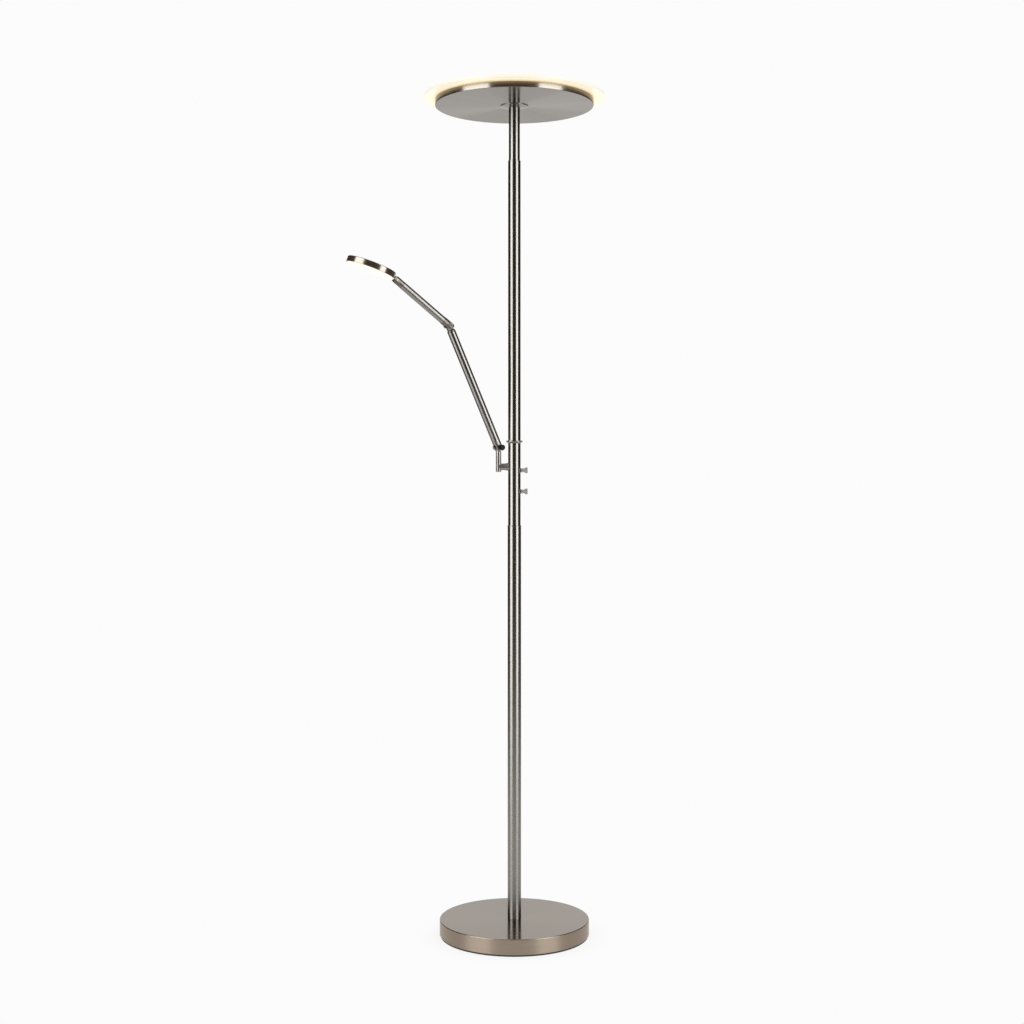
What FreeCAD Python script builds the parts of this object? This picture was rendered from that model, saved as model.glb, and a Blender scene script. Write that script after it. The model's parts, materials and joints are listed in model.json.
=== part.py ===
"""Torchiere floor lamp with an articulated reading light.

Millimetres, +Z up. The origin is the centre of the base pad on the floor, on the pole's axis.
The reading arm hangs from the -X side of the pole, the two dimmer knobs point along +X,
and the cable inlet is at the back, on +Y. The arm is modelled in the pose it is used in.
"""
import FreeCAD, Part
import math
import os

# ---------------------------------------------------------------- driving dimensions
# Fits, shared by every piece
RUNNING_FIT = 0.05          # radial clearance of a shaft that turns in its hole
SIDE_GAP = 0.3              # between the flat faces of pieces that move past each other
HOLE_CLEARANCE = 0.2        # radial clearance of a screw or bush that only passes through
EDGE_BREAK = 0.4            # chamfer on turned edges
STUD_PASSAGE = 3.5          # bore of the hollow stud and of the arm's stub, for the wires
POLE_PASSAGE = 8.0          # bore of the couplers, collar and hub, for the wires

# Base: spun cover over a cast weight, on a full pad
BASE_RADIUS = 160.0
BASE_EDGE = 1.6             # radius of the cover's top corner
COVER_WALL = 1.2
COVER_LIFT = 0.9            # floor to the cover's bottom edge
PAD_THICKNESS = 2.0
PAD_MARGIN = 0.8            # pad's edge to the inside of the cover
WEIGHT_THICKNESS = 12.0
WEIGHT_MARGIN = 0.8         # weight's edge to the inside of the cover
BOSS_RADIUS = 26.0          # the weight's middle boss, which carries the cover and the pole
NUT_POCKET_RADIUS = 17.0
NUT_POCKET_DEPTH = 20.0
STUD_RADIUS = 5.0
STUD_TAIL = 1.5             # stud's end below its nut
STUD_GRIP = 16.0            # stud's reach into the pole's foot
WASHER_MARGIN = 2.0         # washer's edge to the wall of the pocket
WASHER_THICKNESS = 1.5
BASE_NUT_FLATS = 17.0
BASE_NUT_THICKNESS = 5.0
DRIVER_SIZE = (46.0, 104.0, 17.0)
DRIVER_OFFSET = 80.0        # power supply's middle, from the pole's axis along -X
DRIVER_CORNER = 3.0
DRIVER_HEADROOM = 3.8       # power supply to the inside of the cover
WIRE_RADIUS = 1.5
WIRE_BEND = 6.0             # radius at each turn of the wire
WIRE_CHANNEL_WIDTH = 8.0
WIRE_CHANNEL_HEIGHT = 6.0
WIRE_LAP = 6.0              # wire's end past the light board's inner edge
INLET_LIFT = 1.5            # weight's top to the inlet's flange
INLET_BORE = 3.7
INLET_WAIST = 5.5
INLET_FLANGE = 7.5
INLET_FLANGE_THICKNESS = 1.8

# Pole: four tubes, joined by turned couplers
LOWER_TUBE_RADIUS = 14.5
MIDDLE_TUBE_RADIUS = 13.5   # dimmer tube and upper tube
TOP_TUBE_RADIUS = 12.0
TUBE_WALL = 1.2
LOWER_RUN = 842.5           # base to the lip above the lower tube
DIMMER_RUN = 182.0          # lip to the top of the ring above the arm
UPPER_RUN = 601.0           # ring to the lip above the upper tube
TOP_RUN = 117.5             # lip to the underside of the pan
COUPLER_GRIP = 30.0         # how far each spigot reaches into its tube
COUPLER_LIP = 2.0
LIP_OVERHANG = 0.5
COLLAR_OVERHANG = 4.5       # ring's edge past the tube
COLLAR_BAND = 1.8
COLLAR_CONE = 4.0
FOOT_PLUG_LENGTH = 32.0

# Torchiere head
PAN_RADIUS = 170.5
PAN_RIM_HEIGHT = 12.5
PAN_FLOOR = 1.5
PAN_RIM_WALL = 1.5
PAN_EDGE = 1.0
HUB_RADIUS = 30.0
HUB_THICKNESS = 4.0
HUB_SCREW_INSET = 8.0       # hub's edge to the screws' axes
HUB_SCREW_RADIUS = 2.0
HUB_SCREW_HEAD = 3.6
HUB_SCREW_HEAD_HEIGHT = 2.2
HUB_SCREW_COUNT = 3
SPREADER_MARGIN = 7.0       # pan's rim to the heat spreader
SPREADER_THICKNESS = 2.0
BOARD_MARGIN = 6.0          # heat spreader's edge to the light board
BOARD_WIDTH = 72.0
BOARD_THICKNESS = 1.6
CHIP_SIZE = 5.0
CHIP_HEIGHT = 0.9
CHIP_COUNT = 24
CHIP_INSET = 24.0           # light board's edge to the light sources
GLOW_OVERHANG = 24.0        # glow plate's edge past the pan
GLOW_GAP = 2.5              # pan's rim to the glow plate
GLOW_THICKNESS = 6.0
GLOW_EDGE = 1.2
PLATE_POST_RADIUS = 4.0
PLATE_POST_MARGIN = 2.0     # light board's inner edge to the posts
PLATE_POST_COUNT = 4
PUCK_RADIUS = 11.0
PUCK_THICKNESS = 2.0

# Dimmers
DIMMER_DROPS = {"reading": 63.5, "main": 109.0}     # below the top of the ring
DIMMER_BODY = (6.5, 9.5, 11.0)
DIMMER_BUSH_RADIUS = 3.2
DIMMER_BUSH_REACH = 3.5     # past the tube's surface
DIMMER_SHAFT_RADIUS = 2.0
DIMMER_SADDLE_WIDTH = 1.6   # ring nut's face outside the bush
DIMMER_SADDLE_REACH = 1.2
KNOB_NECK_WALL = 1.1        # knob's neck outside the bush
KNOB_NECK_LENGTH = 7.0
KNOB_CAP_OVERHANG = 2.0     # knob's cap outside its neck
KNOB_CAP_LENGTH = 6.5
KNOB_FLARE = 1.5
KNOB_FLUTES = 12
KNOB_FLUTE_RADIUS = 0.7
KNOB_BORE_END = 3.0         # solid face left at the knob's outer end

# Bracket that carries the reading arm
POST_OFFSET = 34.0          # swivel axis, from the pole's axis along -X
POST_RADIUS = 5.8
POST_DROP = 11.0            # stub's axis to the post's lower end
POST_RISE = 23.0            # stub's axis to the post's top
POST_FLOOR = 5.0
STUB_DROP = 56.0            # stub's axis below the top of the ring
STUB_RADIUS = 7.3
STUB_FLARE_RADIUS = 8.6
STUB_FLARE_LENGTH = 8.0
STUB_BITE = 2.4             # how far the stub's end reaches round the post
STUB_SPIGOT_RADIUS = 4.8
STUB_SPIGOT_REACH = 8.2     # past the pole's surface, inwards
STUB_NUT_WALL = 1.7         # spigot to the nut's flats
STUB_NUT_THICKNESS = 3.5
STUB_WASHER_WIDTH = 2.2     # washer's face outside the spigot
SWIVEL_RADIUS = 4.2
SWIVEL_GROOVE_DEPTH = 1.0
SWIVEL_SCREW_RADIUS = 1.5
SWIVEL_SCREW_DROP = 12.5    # post's top to the screw's axis
SWIVEL_SCREW_RECESS = 0.4

# Reading arm, in the pose of use
STEM_LENGTH = 8.9           # round part of the stem between post and clevis
ARM_SWING = 33.0            # degrees that the arm is swung from -X towards the front
LOWER_ARM_LEAN = 25.8       # degrees from vertical
LOWER_ARM_LENGTH = 284.0    # hinge to hinge
ELBOW_BEND = 29.4           # degrees between the two arms
UPPER_ARM_LENGTH = 153.5    # elbow to head pivot
HEAD_TWIST = -9.0           # degrees that the head is rolled about the upper arm
HEAD_DROP = 16.8            # degrees between the upper arm and the head's plate
LOWER_ARM_RADIUS = 9.0
UPPER_ARM_RADIUS = 8.1
ARM_WALL = 1.2
ARM_PLUG = 24.0             # how far each fitting reaches into its tube
HINGE_SLOT_CLEARANCE = 1.2  # tongue's nose to the bottom of the clevis slot

LOWER_TONGUE_THICKNESS = 8.0
LOWER_TONGUE_RADIUS = 8.0
LOWER_CLEVIS_RADIUS = 9.0
LOWER_CLEVIS_LENGTH = 20.0  # hinge to the tube's end
LOWER_PIN_RADIUS = 3.0
ELBOW_TONGUE_THICKNESS = 7.0
ELBOW_TONGUE_RADIUS = 7.6
ELBOW_CLEVIS_RADIUS = 8.6
ELBOW_CLEVIS_LENGTH = 18.0
ELBOW_PIN_RADIUS = 2.8
SHOULDER_LENGTH = 5.0       # rounded end that closes the lower arm's tube under the elbow
SEAT_DEPTH = 0.9            # flat cut into the side of a clevis for a pin's head
SEAT_MARGIN = 0.5
FRICTION_KNOB_RADIUS = 5.8
FRICTION_KNOB_LENGTH = 10.0
FRICTION_KNOB_NECK = 1.5
FRICTION_KNOB_NECK_RADIUS = 4.6
FRICTION_KNOB_BORE = 6.0
FRICTION_KNOB_FLUTES = 10
FRICTION_KNOB_FLUTE_RADIUS = 0.8
PIN_CAP_RADIUS = 6.0
PIN_CAP_LENGTH = 8.5
PIN_CAP_DOME = 2.5
ELBOW_SCREW_RADIUS = 5.4
ELBOW_SCREW_HEIGHT = 1.8
ELBOW_SOCKET_FLATS = 4.0
ELBOW_SOCKET_DEPTH = 1.4
ELBOW_NUT_RADIUS = 5.4
ELBOW_NUT_LENGTH = 7.5
ELBOW_NUT_BORE = 4.0

# Head fork, which turns in the end of the upper arm
FORK_RADIUS = 7.8
FORK_NOSE_RADIUS = 7.4
FORK_LENGTH = 16.0          # head pivot to the tube's end
FORK_SPIGOT_RADIUS = 5.0
FORK_SPIGOT_TAIL = 2.4      # spigot's end past the clip
FORK_BUSH_LENGTH = 22.0
CLIP_MARGIN = 0.6           # clip's edge to the inside of the tube
CLIP_THICKNESS = 1.0
CLIP_GROOVE_DEPTH = 0.6
HEAD_PIN_RADIUS = 2.0
HEAD_LUG_THICKNESS = 5.0
HEAD_LUG_RADIUS = 5.2

# Reading head
HEAD_RADIUS = 52.2
HEAD_HEIGHT = 12.4
HEAD_WALL = 1.4
HEAD_EDGE = 1.2
HEAD_RIM_GAP = 1.6          # head's rim to the fork's nose
HEAD_OFFSET = 3.0           # pivot below the middle of the rim
HEAD_BOARD_THICKNESS = 1.6
HEAD_BOARD_MARGIN = 0.6
HEAD_STANDOFF_HEIGHT = 1.0
HEAD_STANDOFF_RADIUS = 3.0
HEAD_STANDOFF_CIRCLE = 34.0
HEAD_STANDOFF_COUNT = 3
HEAD_CHIP_COUNT = 12
HEAD_CHIP_CIRCLE = 30.0
HEAD_DIFFUSER_THICKNESS = 3.0
HEAD_DIFFUSER_MARGIN = 0.2
HEAD_DIFFUSER_PROUD = 0.6
HEAD_LEDGE = 1.0            # step in the rim that the diffuser rests on

# ---------------------------------------------------------------- derived places
ORIGIN = FreeCAD.Vector(0, 0, 0)
X_AXIS = FreeCAD.Vector(1, 0, 0)
Y_AXIS = FreeCAD.Vector(0, 1, 0)
UP = FreeCAD.Vector(0, 0, 1)

COVER_INSIDE = BASE_RADIUS - COVER_WALL
WEIGHT_TOP = PAD_THICKNESS + WEIGHT_THICKNESS
BASE_HEIGHT = WEIGHT_TOP + DRIVER_SIZE[2] + DRIVER_HEADROOM + COVER_WALL
INLET_HEIGHT = WEIGHT_TOP + INLET_LIFT + INLET_FLANGE
WASHER_RADIUS = NUT_POCKET_RADIUS - WASHER_MARGIN
WIRE_HOLE_OFFSET = DRIVER_OFFSET - DRIVER_SIZE[0] / 2 - 2 * WIRE_BEND
POCKET_TOP = PAD_THICKNESS + NUT_POCKET_DEPTH
BASE_NUT_TOP = POCKET_TOP - WASHER_THICKNESS
BASE_NUT_BOTTOM = BASE_NUT_TOP - BASE_NUT_THICKNESS
LOWER_JOINT_HEIGHT = BASE_HEIGHT + LOWER_RUN
COLLAR_HEIGHT = LOWER_JOINT_HEIGHT + DIMMER_RUN
UPPER_JOINT_HEIGHT = COLLAR_HEIGHT + UPPER_RUN
LOWER_TUBE_BORE = LOWER_TUBE_RADIUS - TUBE_WALL
MIDDLE_TUBE_BORE = MIDDLE_TUBE_RADIUS - TUBE_WALL
TOP_TUBE_BORE = TOP_TUBE_RADIUS - TUBE_WALL
COLLAR_RADIUS = MIDDLE_TUBE_RADIUS + COLLAR_OVERHANG
COLLAR_BAND_BOTTOM = COLLAR_HEIGHT - COLLAR_BAND
COLLAR_BOTTOM = COLLAR_BAND_BOTTOM - COLLAR_CONE
PAN_UNDERSIDE = UPPER_JOINT_HEIGHT + TOP_RUN
HUB_BOTTOM = PAN_UNDERSIDE - HUB_THICKNESS
HUB_SCREW_CIRCLE = HUB_RADIUS - HUB_SCREW_INSET
PAN_INSIDE = PAN_UNDERSIDE + PAN_FLOOR
SPREADER_RADIUS = PAN_RADIUS - PAN_RIM_WALL - SPREADER_MARGIN
SPREADER_TOP = PAN_INSIDE + SPREADER_THICKNESS
BOARD_OUTER_RADIUS = SPREADER_RADIUS - BOARD_MARGIN
BOARD_INNER_RADIUS = BOARD_OUTER_RADIUS - BOARD_WIDTH
BOARD_TOP = SPREADER_TOP + BOARD_THICKNESS
CHIP_CIRCLE = BOARD_OUTER_RADIUS - CHIP_INSET
PLATE_POST_CIRCLE = BOARD_INNER_RADIUS - PLATE_POST_MARGIN - PLATE_POST_RADIUS
GLOW_RADIUS = PAN_RADIUS + GLOW_OVERHANG
GLOW_BOTTOM = PAN_UNDERSIDE + PAN_RIM_HEIGHT + GLOW_GAP
GLOW_TOP = GLOW_BOTTOM + GLOW_THICKNESS
PUCK_BOTTOM = GLOW_BOTTOM - PUCK_THICKNESS
DIMMER_HEIGHTS = {name: COLLAR_HEIGHT - drop for name, drop in DIMMER_DROPS.items()}
KNOB_NECK_RADIUS = DIMMER_BUSH_RADIUS + KNOB_NECK_WALL
KNOB_CAP_RADIUS = KNOB_NECK_RADIUS + KNOB_CAP_OVERHANG
STUB_HEIGHT = COLLAR_HEIGHT - STUB_DROP
STUB_WASHER_RADIUS = STUB_SPIGOT_RADIUS + STUB_WASHER_WIDTH
POST_BOTTOM = STUB_HEIGHT - POST_DROP
POST_TOP = STUB_HEIGHT + POST_RISE
SWIVEL_SCREW_HEIGHT = POST_TOP - SWIVEL_SCREW_DROP
SWIVEL_GROOVE_WIDTH = 2 * SWIVEL_SCREW_RADIUS + 2 * SIDE_GAP
LOWER_HINGE_HEIGHT = POST_TOP + STEM_LENGTH + LOWER_CLEVIS_RADIUS + 2 * SIDE_GAP
LOWER_SLOT = LOWER_TONGUE_THICKNESS + 2 * SIDE_GAP
ELBOW_SLOT = ELBOW_TONGUE_THICKNESS + 2 * SIDE_GAP
FORK_SLOT = HEAD_LUG_THICKNESS + 2 * SIDE_GAP
LOWER_SEAT = LOWER_CLEVIS_RADIUS - SEAT_DEPTH
ELBOW_SEAT = ELBOW_CLEVIS_RADIUS - SEAT_DEPTH
LOWER_ARM_BORE = LOWER_ARM_RADIUS - ARM_WALL
UPPER_ARM_BORE = UPPER_ARM_RADIUS - ARM_WALL
SHOULDER_TOP = LOWER_ARM_LENGTH - ELBOW_CLEVIS_RADIUS - 2 * SIDE_GAP
LOWER_ARM_TUBE_END = SHOULDER_TOP - SHOULDER_LENGTH
UPPER_ARM_TUBE_END = UPPER_ARM_LENGTH - FORK_LENGTH - SIDE_GAP
CLIP_RADIUS = UPPER_ARM_BORE - CLIP_MARGIN
FORK_SPIGOT_LENGTH = FORK_BUSH_LENGTH + CLIP_THICKNESS + FORK_SPIGOT_TAIL + 2 * SIDE_GAP
HEAD_MIDDLE = HEAD_RADIUS + HEAD_RIM_GAP + FORK_NOSE_RADIUS

# Frames of the arm's links: local Y is the hinge axis, local Z points along the link
SWIVEL_FRAME = FreeCAD.Placement(FreeCAD.Vector(-POST_OFFSET, 0, LOWER_HINGE_HEIGHT),
                                 FreeCAD.Rotation(UP, 180 + ARM_SWING))
LOWER_ARM_FRAME = SWIVEL_FRAME * FreeCAD.Placement(ORIGIN, FreeCAD.Rotation(Y_AXIS, LOWER_ARM_LEAN))
UPPER_ARM_FRAME = LOWER_ARM_FRAME * FreeCAD.Placement(FreeCAD.Vector(0, 0, LOWER_ARM_LENGTH),
                                                      FreeCAD.Rotation(Y_AXIS, ELBOW_BEND))
FORK_FRAME = UPPER_ARM_FRAME * FreeCAD.Placement(FreeCAD.Vector(0, 0, UPPER_ARM_LENGTH),
                                                 FreeCAD.Rotation(UP, HEAD_TWIST))
HEAD_FRAME = FORK_FRAME * FreeCAD.Placement(ORIGIN, FreeCAD.Rotation(Y_AXIS, HEAD_DROP))


# ---------------------------------------------------------------- forms
def turned(outline):
    """Solid of revolution about Z from its (radius, height) corners, in order."""
    corners = [FreeCAD.Vector(radius, 0, height) for radius, height in outline]
    face = Part.Face(Part.makePolygon(corners + corners[:1]))
    return face.revolve(ORIGIN, UP, 360)


def rod(radius, bottom, top, x=0.0, y=0.0):
    return Part.makeCylinder(radius, top - bottom, FreeCAD.Vector(x, y, bottom))


def rod_along_y(radius, start, end, height=0.0):
    return Part.makeCylinder(radius, end - start, FreeCAD.Vector(0, start, height), Y_AXIS)


def rod_along_x(radius, start, end, height=0.0):
    return Part.makeCylinder(radius, end - start, FreeCAD.Vector(start, 0, height), X_AXIS)


def ring(outer, inner, bottom, top):
    return rod(outer, bottom, top).cut(rod(inner, bottom, top))


def block(size, centre):
    """Box from its (x, y, z) size and the centre of its underside."""
    corner = centre - FreeCAD.Vector(size[0] / 2, size[1] / 2, 0)
    return Part.makeBox(size[0], size[1], size[2], corner)


def hexagon(flats, bottom, top):
    """Hexagonal prism on the Z axis, measured across its flats."""
    corner = flats / math.sqrt(3)
    points = [FreeCAD.Vector(corner * math.cos(math.radians(60 * turn)),
                             corner * math.sin(math.radians(60 * turn)), bottom) for turn in range(6)]
    face = Part.Face(Part.makePolygon(points + points[:1]))
    return face.extrude(FreeCAD.Vector(0, 0, top - bottom))


def circle_edges(shape, radius, height):
    """Full circles of a turned piece at one radius and height."""
    return [edge for edge in shape.Edges
            if isinstance(edge.Curve, Part.Circle)
            and abs(edge.Curve.Radius - radius) < 1e-6
            and abs(edge.Curve.Center.z - height) < 1e-6]


def broken(shape, *places, size=EDGE_BREAK):
    """Chamfer the turned edges at each (radius, height)."""
    edges = [edge for radius, height in places for edge in circle_edges(shape, radius, height)]
    return shape.makeChamfer(size, edges)


def rounded(shape, radius, *places):
    """Round the turned edges at each (radius, height)."""
    edges = [edge for place in places for edge in circle_edges(shape, *place)]
    return shape.makeFillet(radius, edges)


def around(solid, count, circle, first=0.0):
    """Copies of a solid spaced evenly about the Z axis, at one radius."""
    copies = []
    for index in range(count):
        turn = FreeCAD.Rotation(UP, first + 360.0 * index / count)
        copy = solid.copy()
        copy.Placement = FreeCAD.Placement(turn.multVec(FreeCAD.Vector(circle, 0, 0)), turn)
        copies.append(copy)
    return copies


def fluted(body, radius, flute_radius, count, bottom, top):
    """Cut finger grooves along Z into the side of a knob."""
    groove = rod(flute_radius, bottom, top)
    return body.cut(around(groove, count, radius + flute_radius / 2))


def bent_wire(points, radius, bend):
    """Round wire along straight runs, which arcs of one radius join."""
    edges = []
    start = points[0]
    for before, corner, after in zip(points, points[1:], points[2:]):
        arriving = (corner - before).normalize()
        leaving = (after - corner).normalize()
        half_turn = arriving.getAngle(leaving) / 2
        arc_start = corner - arriving * (bend * math.tan(half_turn))
        arc_end = corner + leaving * (bend * math.tan(half_turn))
        inward = (leaving - arriving).normalize()
        middle = corner + inward * (bend / math.cos(half_turn) - bend)
        edges.append(Part.LineSegment(start, arc_start).toShape())
        edges.append(Part.Arc(arc_start, middle, arc_end).toShape())
        start = arc_end
    edges.append(Part.LineSegment(start, points[-1]).toShape())
    section = Part.Wire(Part.makeCircle(radius, points[0], points[1] - points[0]))
    return Part.Wire(edges).makePipeShell([section], True, False)


def placed(shape, frame):
    """Copy of a shape, moved by a frame."""
    moved = shape.copy()
    moved.Placement = frame * moved.Placement
    return moved


def shifted(shape, x=0.0, y=0.0, z=0.0):
    return placed(shape, FreeCAD.Placement(FreeCAD.Vector(x, y, z), FreeCAD.Rotation()))


def turned_to(shape, direction):
    """Copy of a shape with its Z axis swung to a direction."""
    return placed(shape, FreeCAD.Placement(ORIGIN, FreeCAD.Rotation(UP, direction)))


# ---------------------------------------------------------------- base
def base_pad():
    return rod(COVER_INSIDE - PAD_MARGIN, 0, PAD_THICKNESS)


def base_weight():
    """Cast disc: middle boss up to the cover, pocket for the nut and channel for the wire below."""
    edge = COVER_INSIDE - WEIGHT_MARGIN
    boss_top = BASE_HEIGHT - COVER_WALL
    casting = turned([(STUD_RADIUS + HOLE_CLEARANCE, POCKET_TOP), (NUT_POCKET_RADIUS, POCKET_TOP),
                      (NUT_POCKET_RADIUS, PAD_THICKNESS), (edge, PAD_THICKNESS), (edge, WEIGHT_TOP),
                      (BOSS_RADIUS, WEIGHT_TOP), (BOSS_RADIUS, boss_top),
                      (STUD_RADIUS + HOLE_CLEARANCE, boss_top)])
    casting = broken(casting, (edge, WEIGHT_TOP), (BOSS_RADIUS, boss_top))
    channel = block((WIRE_HOLE_OFFSET, WIRE_CHANNEL_WIDTH, WIRE_CHANNEL_HEIGHT),
                    FreeCAD.Vector(-WIRE_HOLE_OFFSET / 2, 0, PAD_THICKNESS))
    hole = rod(WIRE_CHANNEL_WIDTH / 2, PAD_THICKNESS, WEIGHT_TOP, x=-WIRE_HOLE_OFFSET)
    return casting.cut([channel, hole])


def base_cover():
    """Spun shell: flat top, rounded corner and straight skirt, open below."""
    shell = turned([(STUD_RADIUS + HOLE_CLEARANCE, BASE_HEIGHT - COVER_WALL),
                    (COVER_INSIDE, BASE_HEIGHT - COVER_WALL), (COVER_INSIDE, COVER_LIFT),
                    (BASE_RADIUS, COVER_LIFT), (BASE_RADIUS, BASE_HEIGHT),
                    (STUD_RADIUS + HOLE_CLEARANCE, BASE_HEIGHT)])
    shell = rounded(shell, BASE_EDGE, (BASE_RADIUS, BASE_HEIGHT))
    return shell.cut(rod_along_y(INLET_WAIST, 0, 2 * BASE_RADIUS, INLET_HEIGHT))


def base_stud():
    """Hollow threaded rod that ties the weight and cover to the pole."""
    return ring(STUD_RADIUS, STUD_PASSAGE, BASE_NUT_BOTTOM - STUD_TAIL, BASE_HEIGHT + STUD_GRIP)


def base_washer():
    return ring(WASHER_RADIUS, STUD_RADIUS + HOLE_CLEARANCE, BASE_NUT_TOP, POCKET_TOP)


def base_nut():
    nut = hexagon(BASE_NUT_FLATS, BASE_NUT_BOTTOM, BASE_NUT_TOP)
    return nut.cut(rod(STUD_RADIUS, BASE_NUT_BOTTOM, BASE_NUT_TOP))


def power_supply():
    """LED power supply that lies on the weight, inside the cover."""
    case = block(DRIVER_SIZE, FreeCAD.Vector(-DRIVER_OFFSET, 0, WEIGHT_TOP))
    upright = [edge for edge in case.Edges if abs(edge.tangentAt(edge.FirstParameter).z) > 0.5]
    return case.makeFillet(DRIVER_CORNER, upright)


def pole_wire():
    """Wire from the power supply, under the weight, up the pole and onto the light board."""
    start = -DRIVER_OFFSET + DRIVER_SIZE[0] / 2
    exit_height = WEIGHT_TOP + DRIVER_SIZE[2] / 2
    channel_height = PAD_THICKNESS + WIRE_CHANNEL_HEIGHT / 2
    board_height = BOARD_TOP + WIRE_RADIUS
    return bent_wire([FreeCAD.Vector(start, 0, exit_height),
                      FreeCAD.Vector(-WIRE_HOLE_OFFSET, 0, exit_height),
                      FreeCAD.Vector(-WIRE_HOLE_OFFSET, 0, channel_height),
                      FreeCAD.Vector(0, 0, channel_height), FreeCAD.Vector(0, 0, board_height),
                      FreeCAD.Vector(0, BOARD_INNER_RADIUS + WIRE_LAP, board_height)],
                     WIRE_RADIUS, WIRE_BEND)


def inlet_bush():
    """Rubber bush in the back of the cover, with a flange on each side of the wall."""
    bands = [(INLET_WAIST, COVER_INSIDE, BASE_RADIUS),
             (INLET_FLANGE, BASE_RADIUS, BASE_RADIUS + INLET_FLANGE_THICKNESS),
             (INLET_FLANGE, COVER_INSIDE - INLET_FLANGE_THICKNESS, COVER_INSIDE)]
    discs = [ring(outer, inner, 0, BASE_HEIGHT).common(rod_along_y(radius, 0, 2 * BASE_RADIUS, INLET_HEIGHT))
             for radius, inner, outer in bands]
    bore = rod_along_y(INLET_BORE, 0, 2 * BASE_RADIUS, INLET_HEIGHT)
    return discs[0].fuse(discs[1:]).removeSplitter().cut(bore)


# ---------------------------------------------------------------- pole
def pole_foot():
    """Threaded plug in the bottom of the lower tube."""
    thread_top = BASE_HEIGHT + STUD_GRIP
    top = BASE_HEIGHT + FOOT_PLUG_LENGTH
    plug = turned([(STUD_RADIUS, BASE_HEIGHT), (LOWER_TUBE_BORE, BASE_HEIGHT), (LOWER_TUBE_BORE, top),
                   (POLE_PASSAGE, top), (POLE_PASSAGE, thread_top), (STUD_RADIUS, thread_top)])
    return broken(plug, (LOWER_TUBE_BORE, top))


def coupler(joint_height, lower_bore, upper_bore, lip_radius):
    """Turned spigots into two tubes, with a thin lip that shows between them."""
    lip_bottom = joint_height - COUPLER_LIP
    outline = [(POLE_PASSAGE, lip_bottom - COUPLER_GRIP), (lower_bore, lip_bottom - COUPLER_GRIP),
               (lower_bore, lip_bottom), (lip_radius, lip_bottom), (lip_radius, joint_height),
               (upper_bore, joint_height), (upper_bore, joint_height + COUPLER_GRIP),
               (POLE_PASSAGE, joint_height + COUPLER_GRIP)]
    return broken(turned(outline), (lower_bore, lip_bottom - COUPLER_GRIP),
                  (upper_bore, joint_height + COUPLER_GRIP))


def lower_coupler():
    lip_radius = max(LOWER_TUBE_RADIUS, MIDDLE_TUBE_RADIUS) + LIP_OVERHANG
    return coupler(LOWER_JOINT_HEIGHT, LOWER_TUBE_BORE, MIDDLE_TUBE_BORE, lip_radius)


def upper_coupler():
    lip_radius = max(MIDDLE_TUBE_RADIUS, TOP_TUBE_RADIUS)
    return coupler(UPPER_JOINT_HEIGHT, MIDDLE_TUBE_BORE, TOP_TUBE_BORE, lip_radius)


def pole_collar():
    """Ring with a cone below it, between the dimmer tube and the upper tube."""
    outline = [(MIDDLE_TUBE_BORE, COLLAR_BOTTOM), (MIDDLE_TUBE_RADIUS, COLLAR_BOTTOM),
               (COLLAR_RADIUS, COLLAR_BAND_BOTTOM), (COLLAR_RADIUS, COLLAR_HEIGHT),
               (MIDDLE_TUBE_BORE, COLLAR_HEIGHT)]
    return broken(turned(outline), (COLLAR_RADIUS, COLLAR_HEIGHT))


def collar_sleeve():
    """Sleeve inside the ring and both tubes, which joins the three."""
    bottom = COLLAR_BOTTOM - COUPLER_GRIP
    top = COLLAR_HEIGHT + COUPLER_GRIP
    sleeve = ring(MIDDLE_TUBE_BORE, POLE_PASSAGE, bottom, top)
    return broken(sleeve, (MIDDLE_TUBE_BORE, bottom), (MIDDLE_TUBE_BORE, top))


def lower_tube():
    return ring(LOWER_TUBE_RADIUS, LOWER_TUBE_BORE, BASE_HEIGHT, LOWER_JOINT_HEIGHT - COUPLER_LIP)


def dimmer_tube():
    """Tube with holes for the two dimmer bushes and for the arm's bracket."""
    tube = ring(MIDDLE_TUBE_RADIUS, MIDDLE_TUBE_BORE, LOWER_JOINT_HEIGHT, COLLAR_BOTTOM)
    holes = [rod_along_x(DIMMER_BUSH_RADIUS + HOLE_CLEARANCE, 0, 2 * MIDDLE_TUBE_RADIUS, height)
             for height in DIMMER_HEIGHTS.values()]
    holes.append(rod_along_x(STUB_SPIGOT_RADIUS + HOLE_CLEARANCE, -2 * MIDDLE_TUBE_RADIUS, 0, STUB_HEIGHT))
    return tube.cut(holes)


def upper_tube():
    return ring(MIDDLE_TUBE_RADIUS, MIDDLE_TUBE_BORE, COLLAR_HEIGHT, UPPER_JOINT_HEIGHT - COUPLER_LIP)


def top_tube():
    return ring(TOP_TUBE_RADIUS, TOP_TUBE_BORE, UPPER_JOINT_HEIGHT, HUB_BOTTOM)


# ---------------------------------------------------------------- torchiere head
def hub_screw_holes(radius, bottom, top):
    return around(rod(radius, bottom, top), HUB_SCREW_COUNT, HUB_SCREW_CIRCLE)


def pan_hub():
    """Flange under the pan, with a spigot in the top tube."""
    outline = [(POLE_PASSAGE, HUB_BOTTOM - COUPLER_GRIP), (TOP_TUBE_BORE, HUB_BOTTOM - COUPLER_GRIP),
               (TOP_TUBE_BORE, HUB_BOTTOM), (HUB_RADIUS, HUB_BOTTOM), (HUB_RADIUS, PAN_UNDERSIDE),
               (POLE_PASSAGE, PAN_UNDERSIDE)]
    hub = broken(turned(outline), (HUB_RADIUS, HUB_BOTTOM))
    return hub.cut(hub_screw_holes(HUB_SCREW_RADIUS, HUB_BOTTOM + HUB_THICKNESS / 4, PAN_UNDERSIDE))


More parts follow.
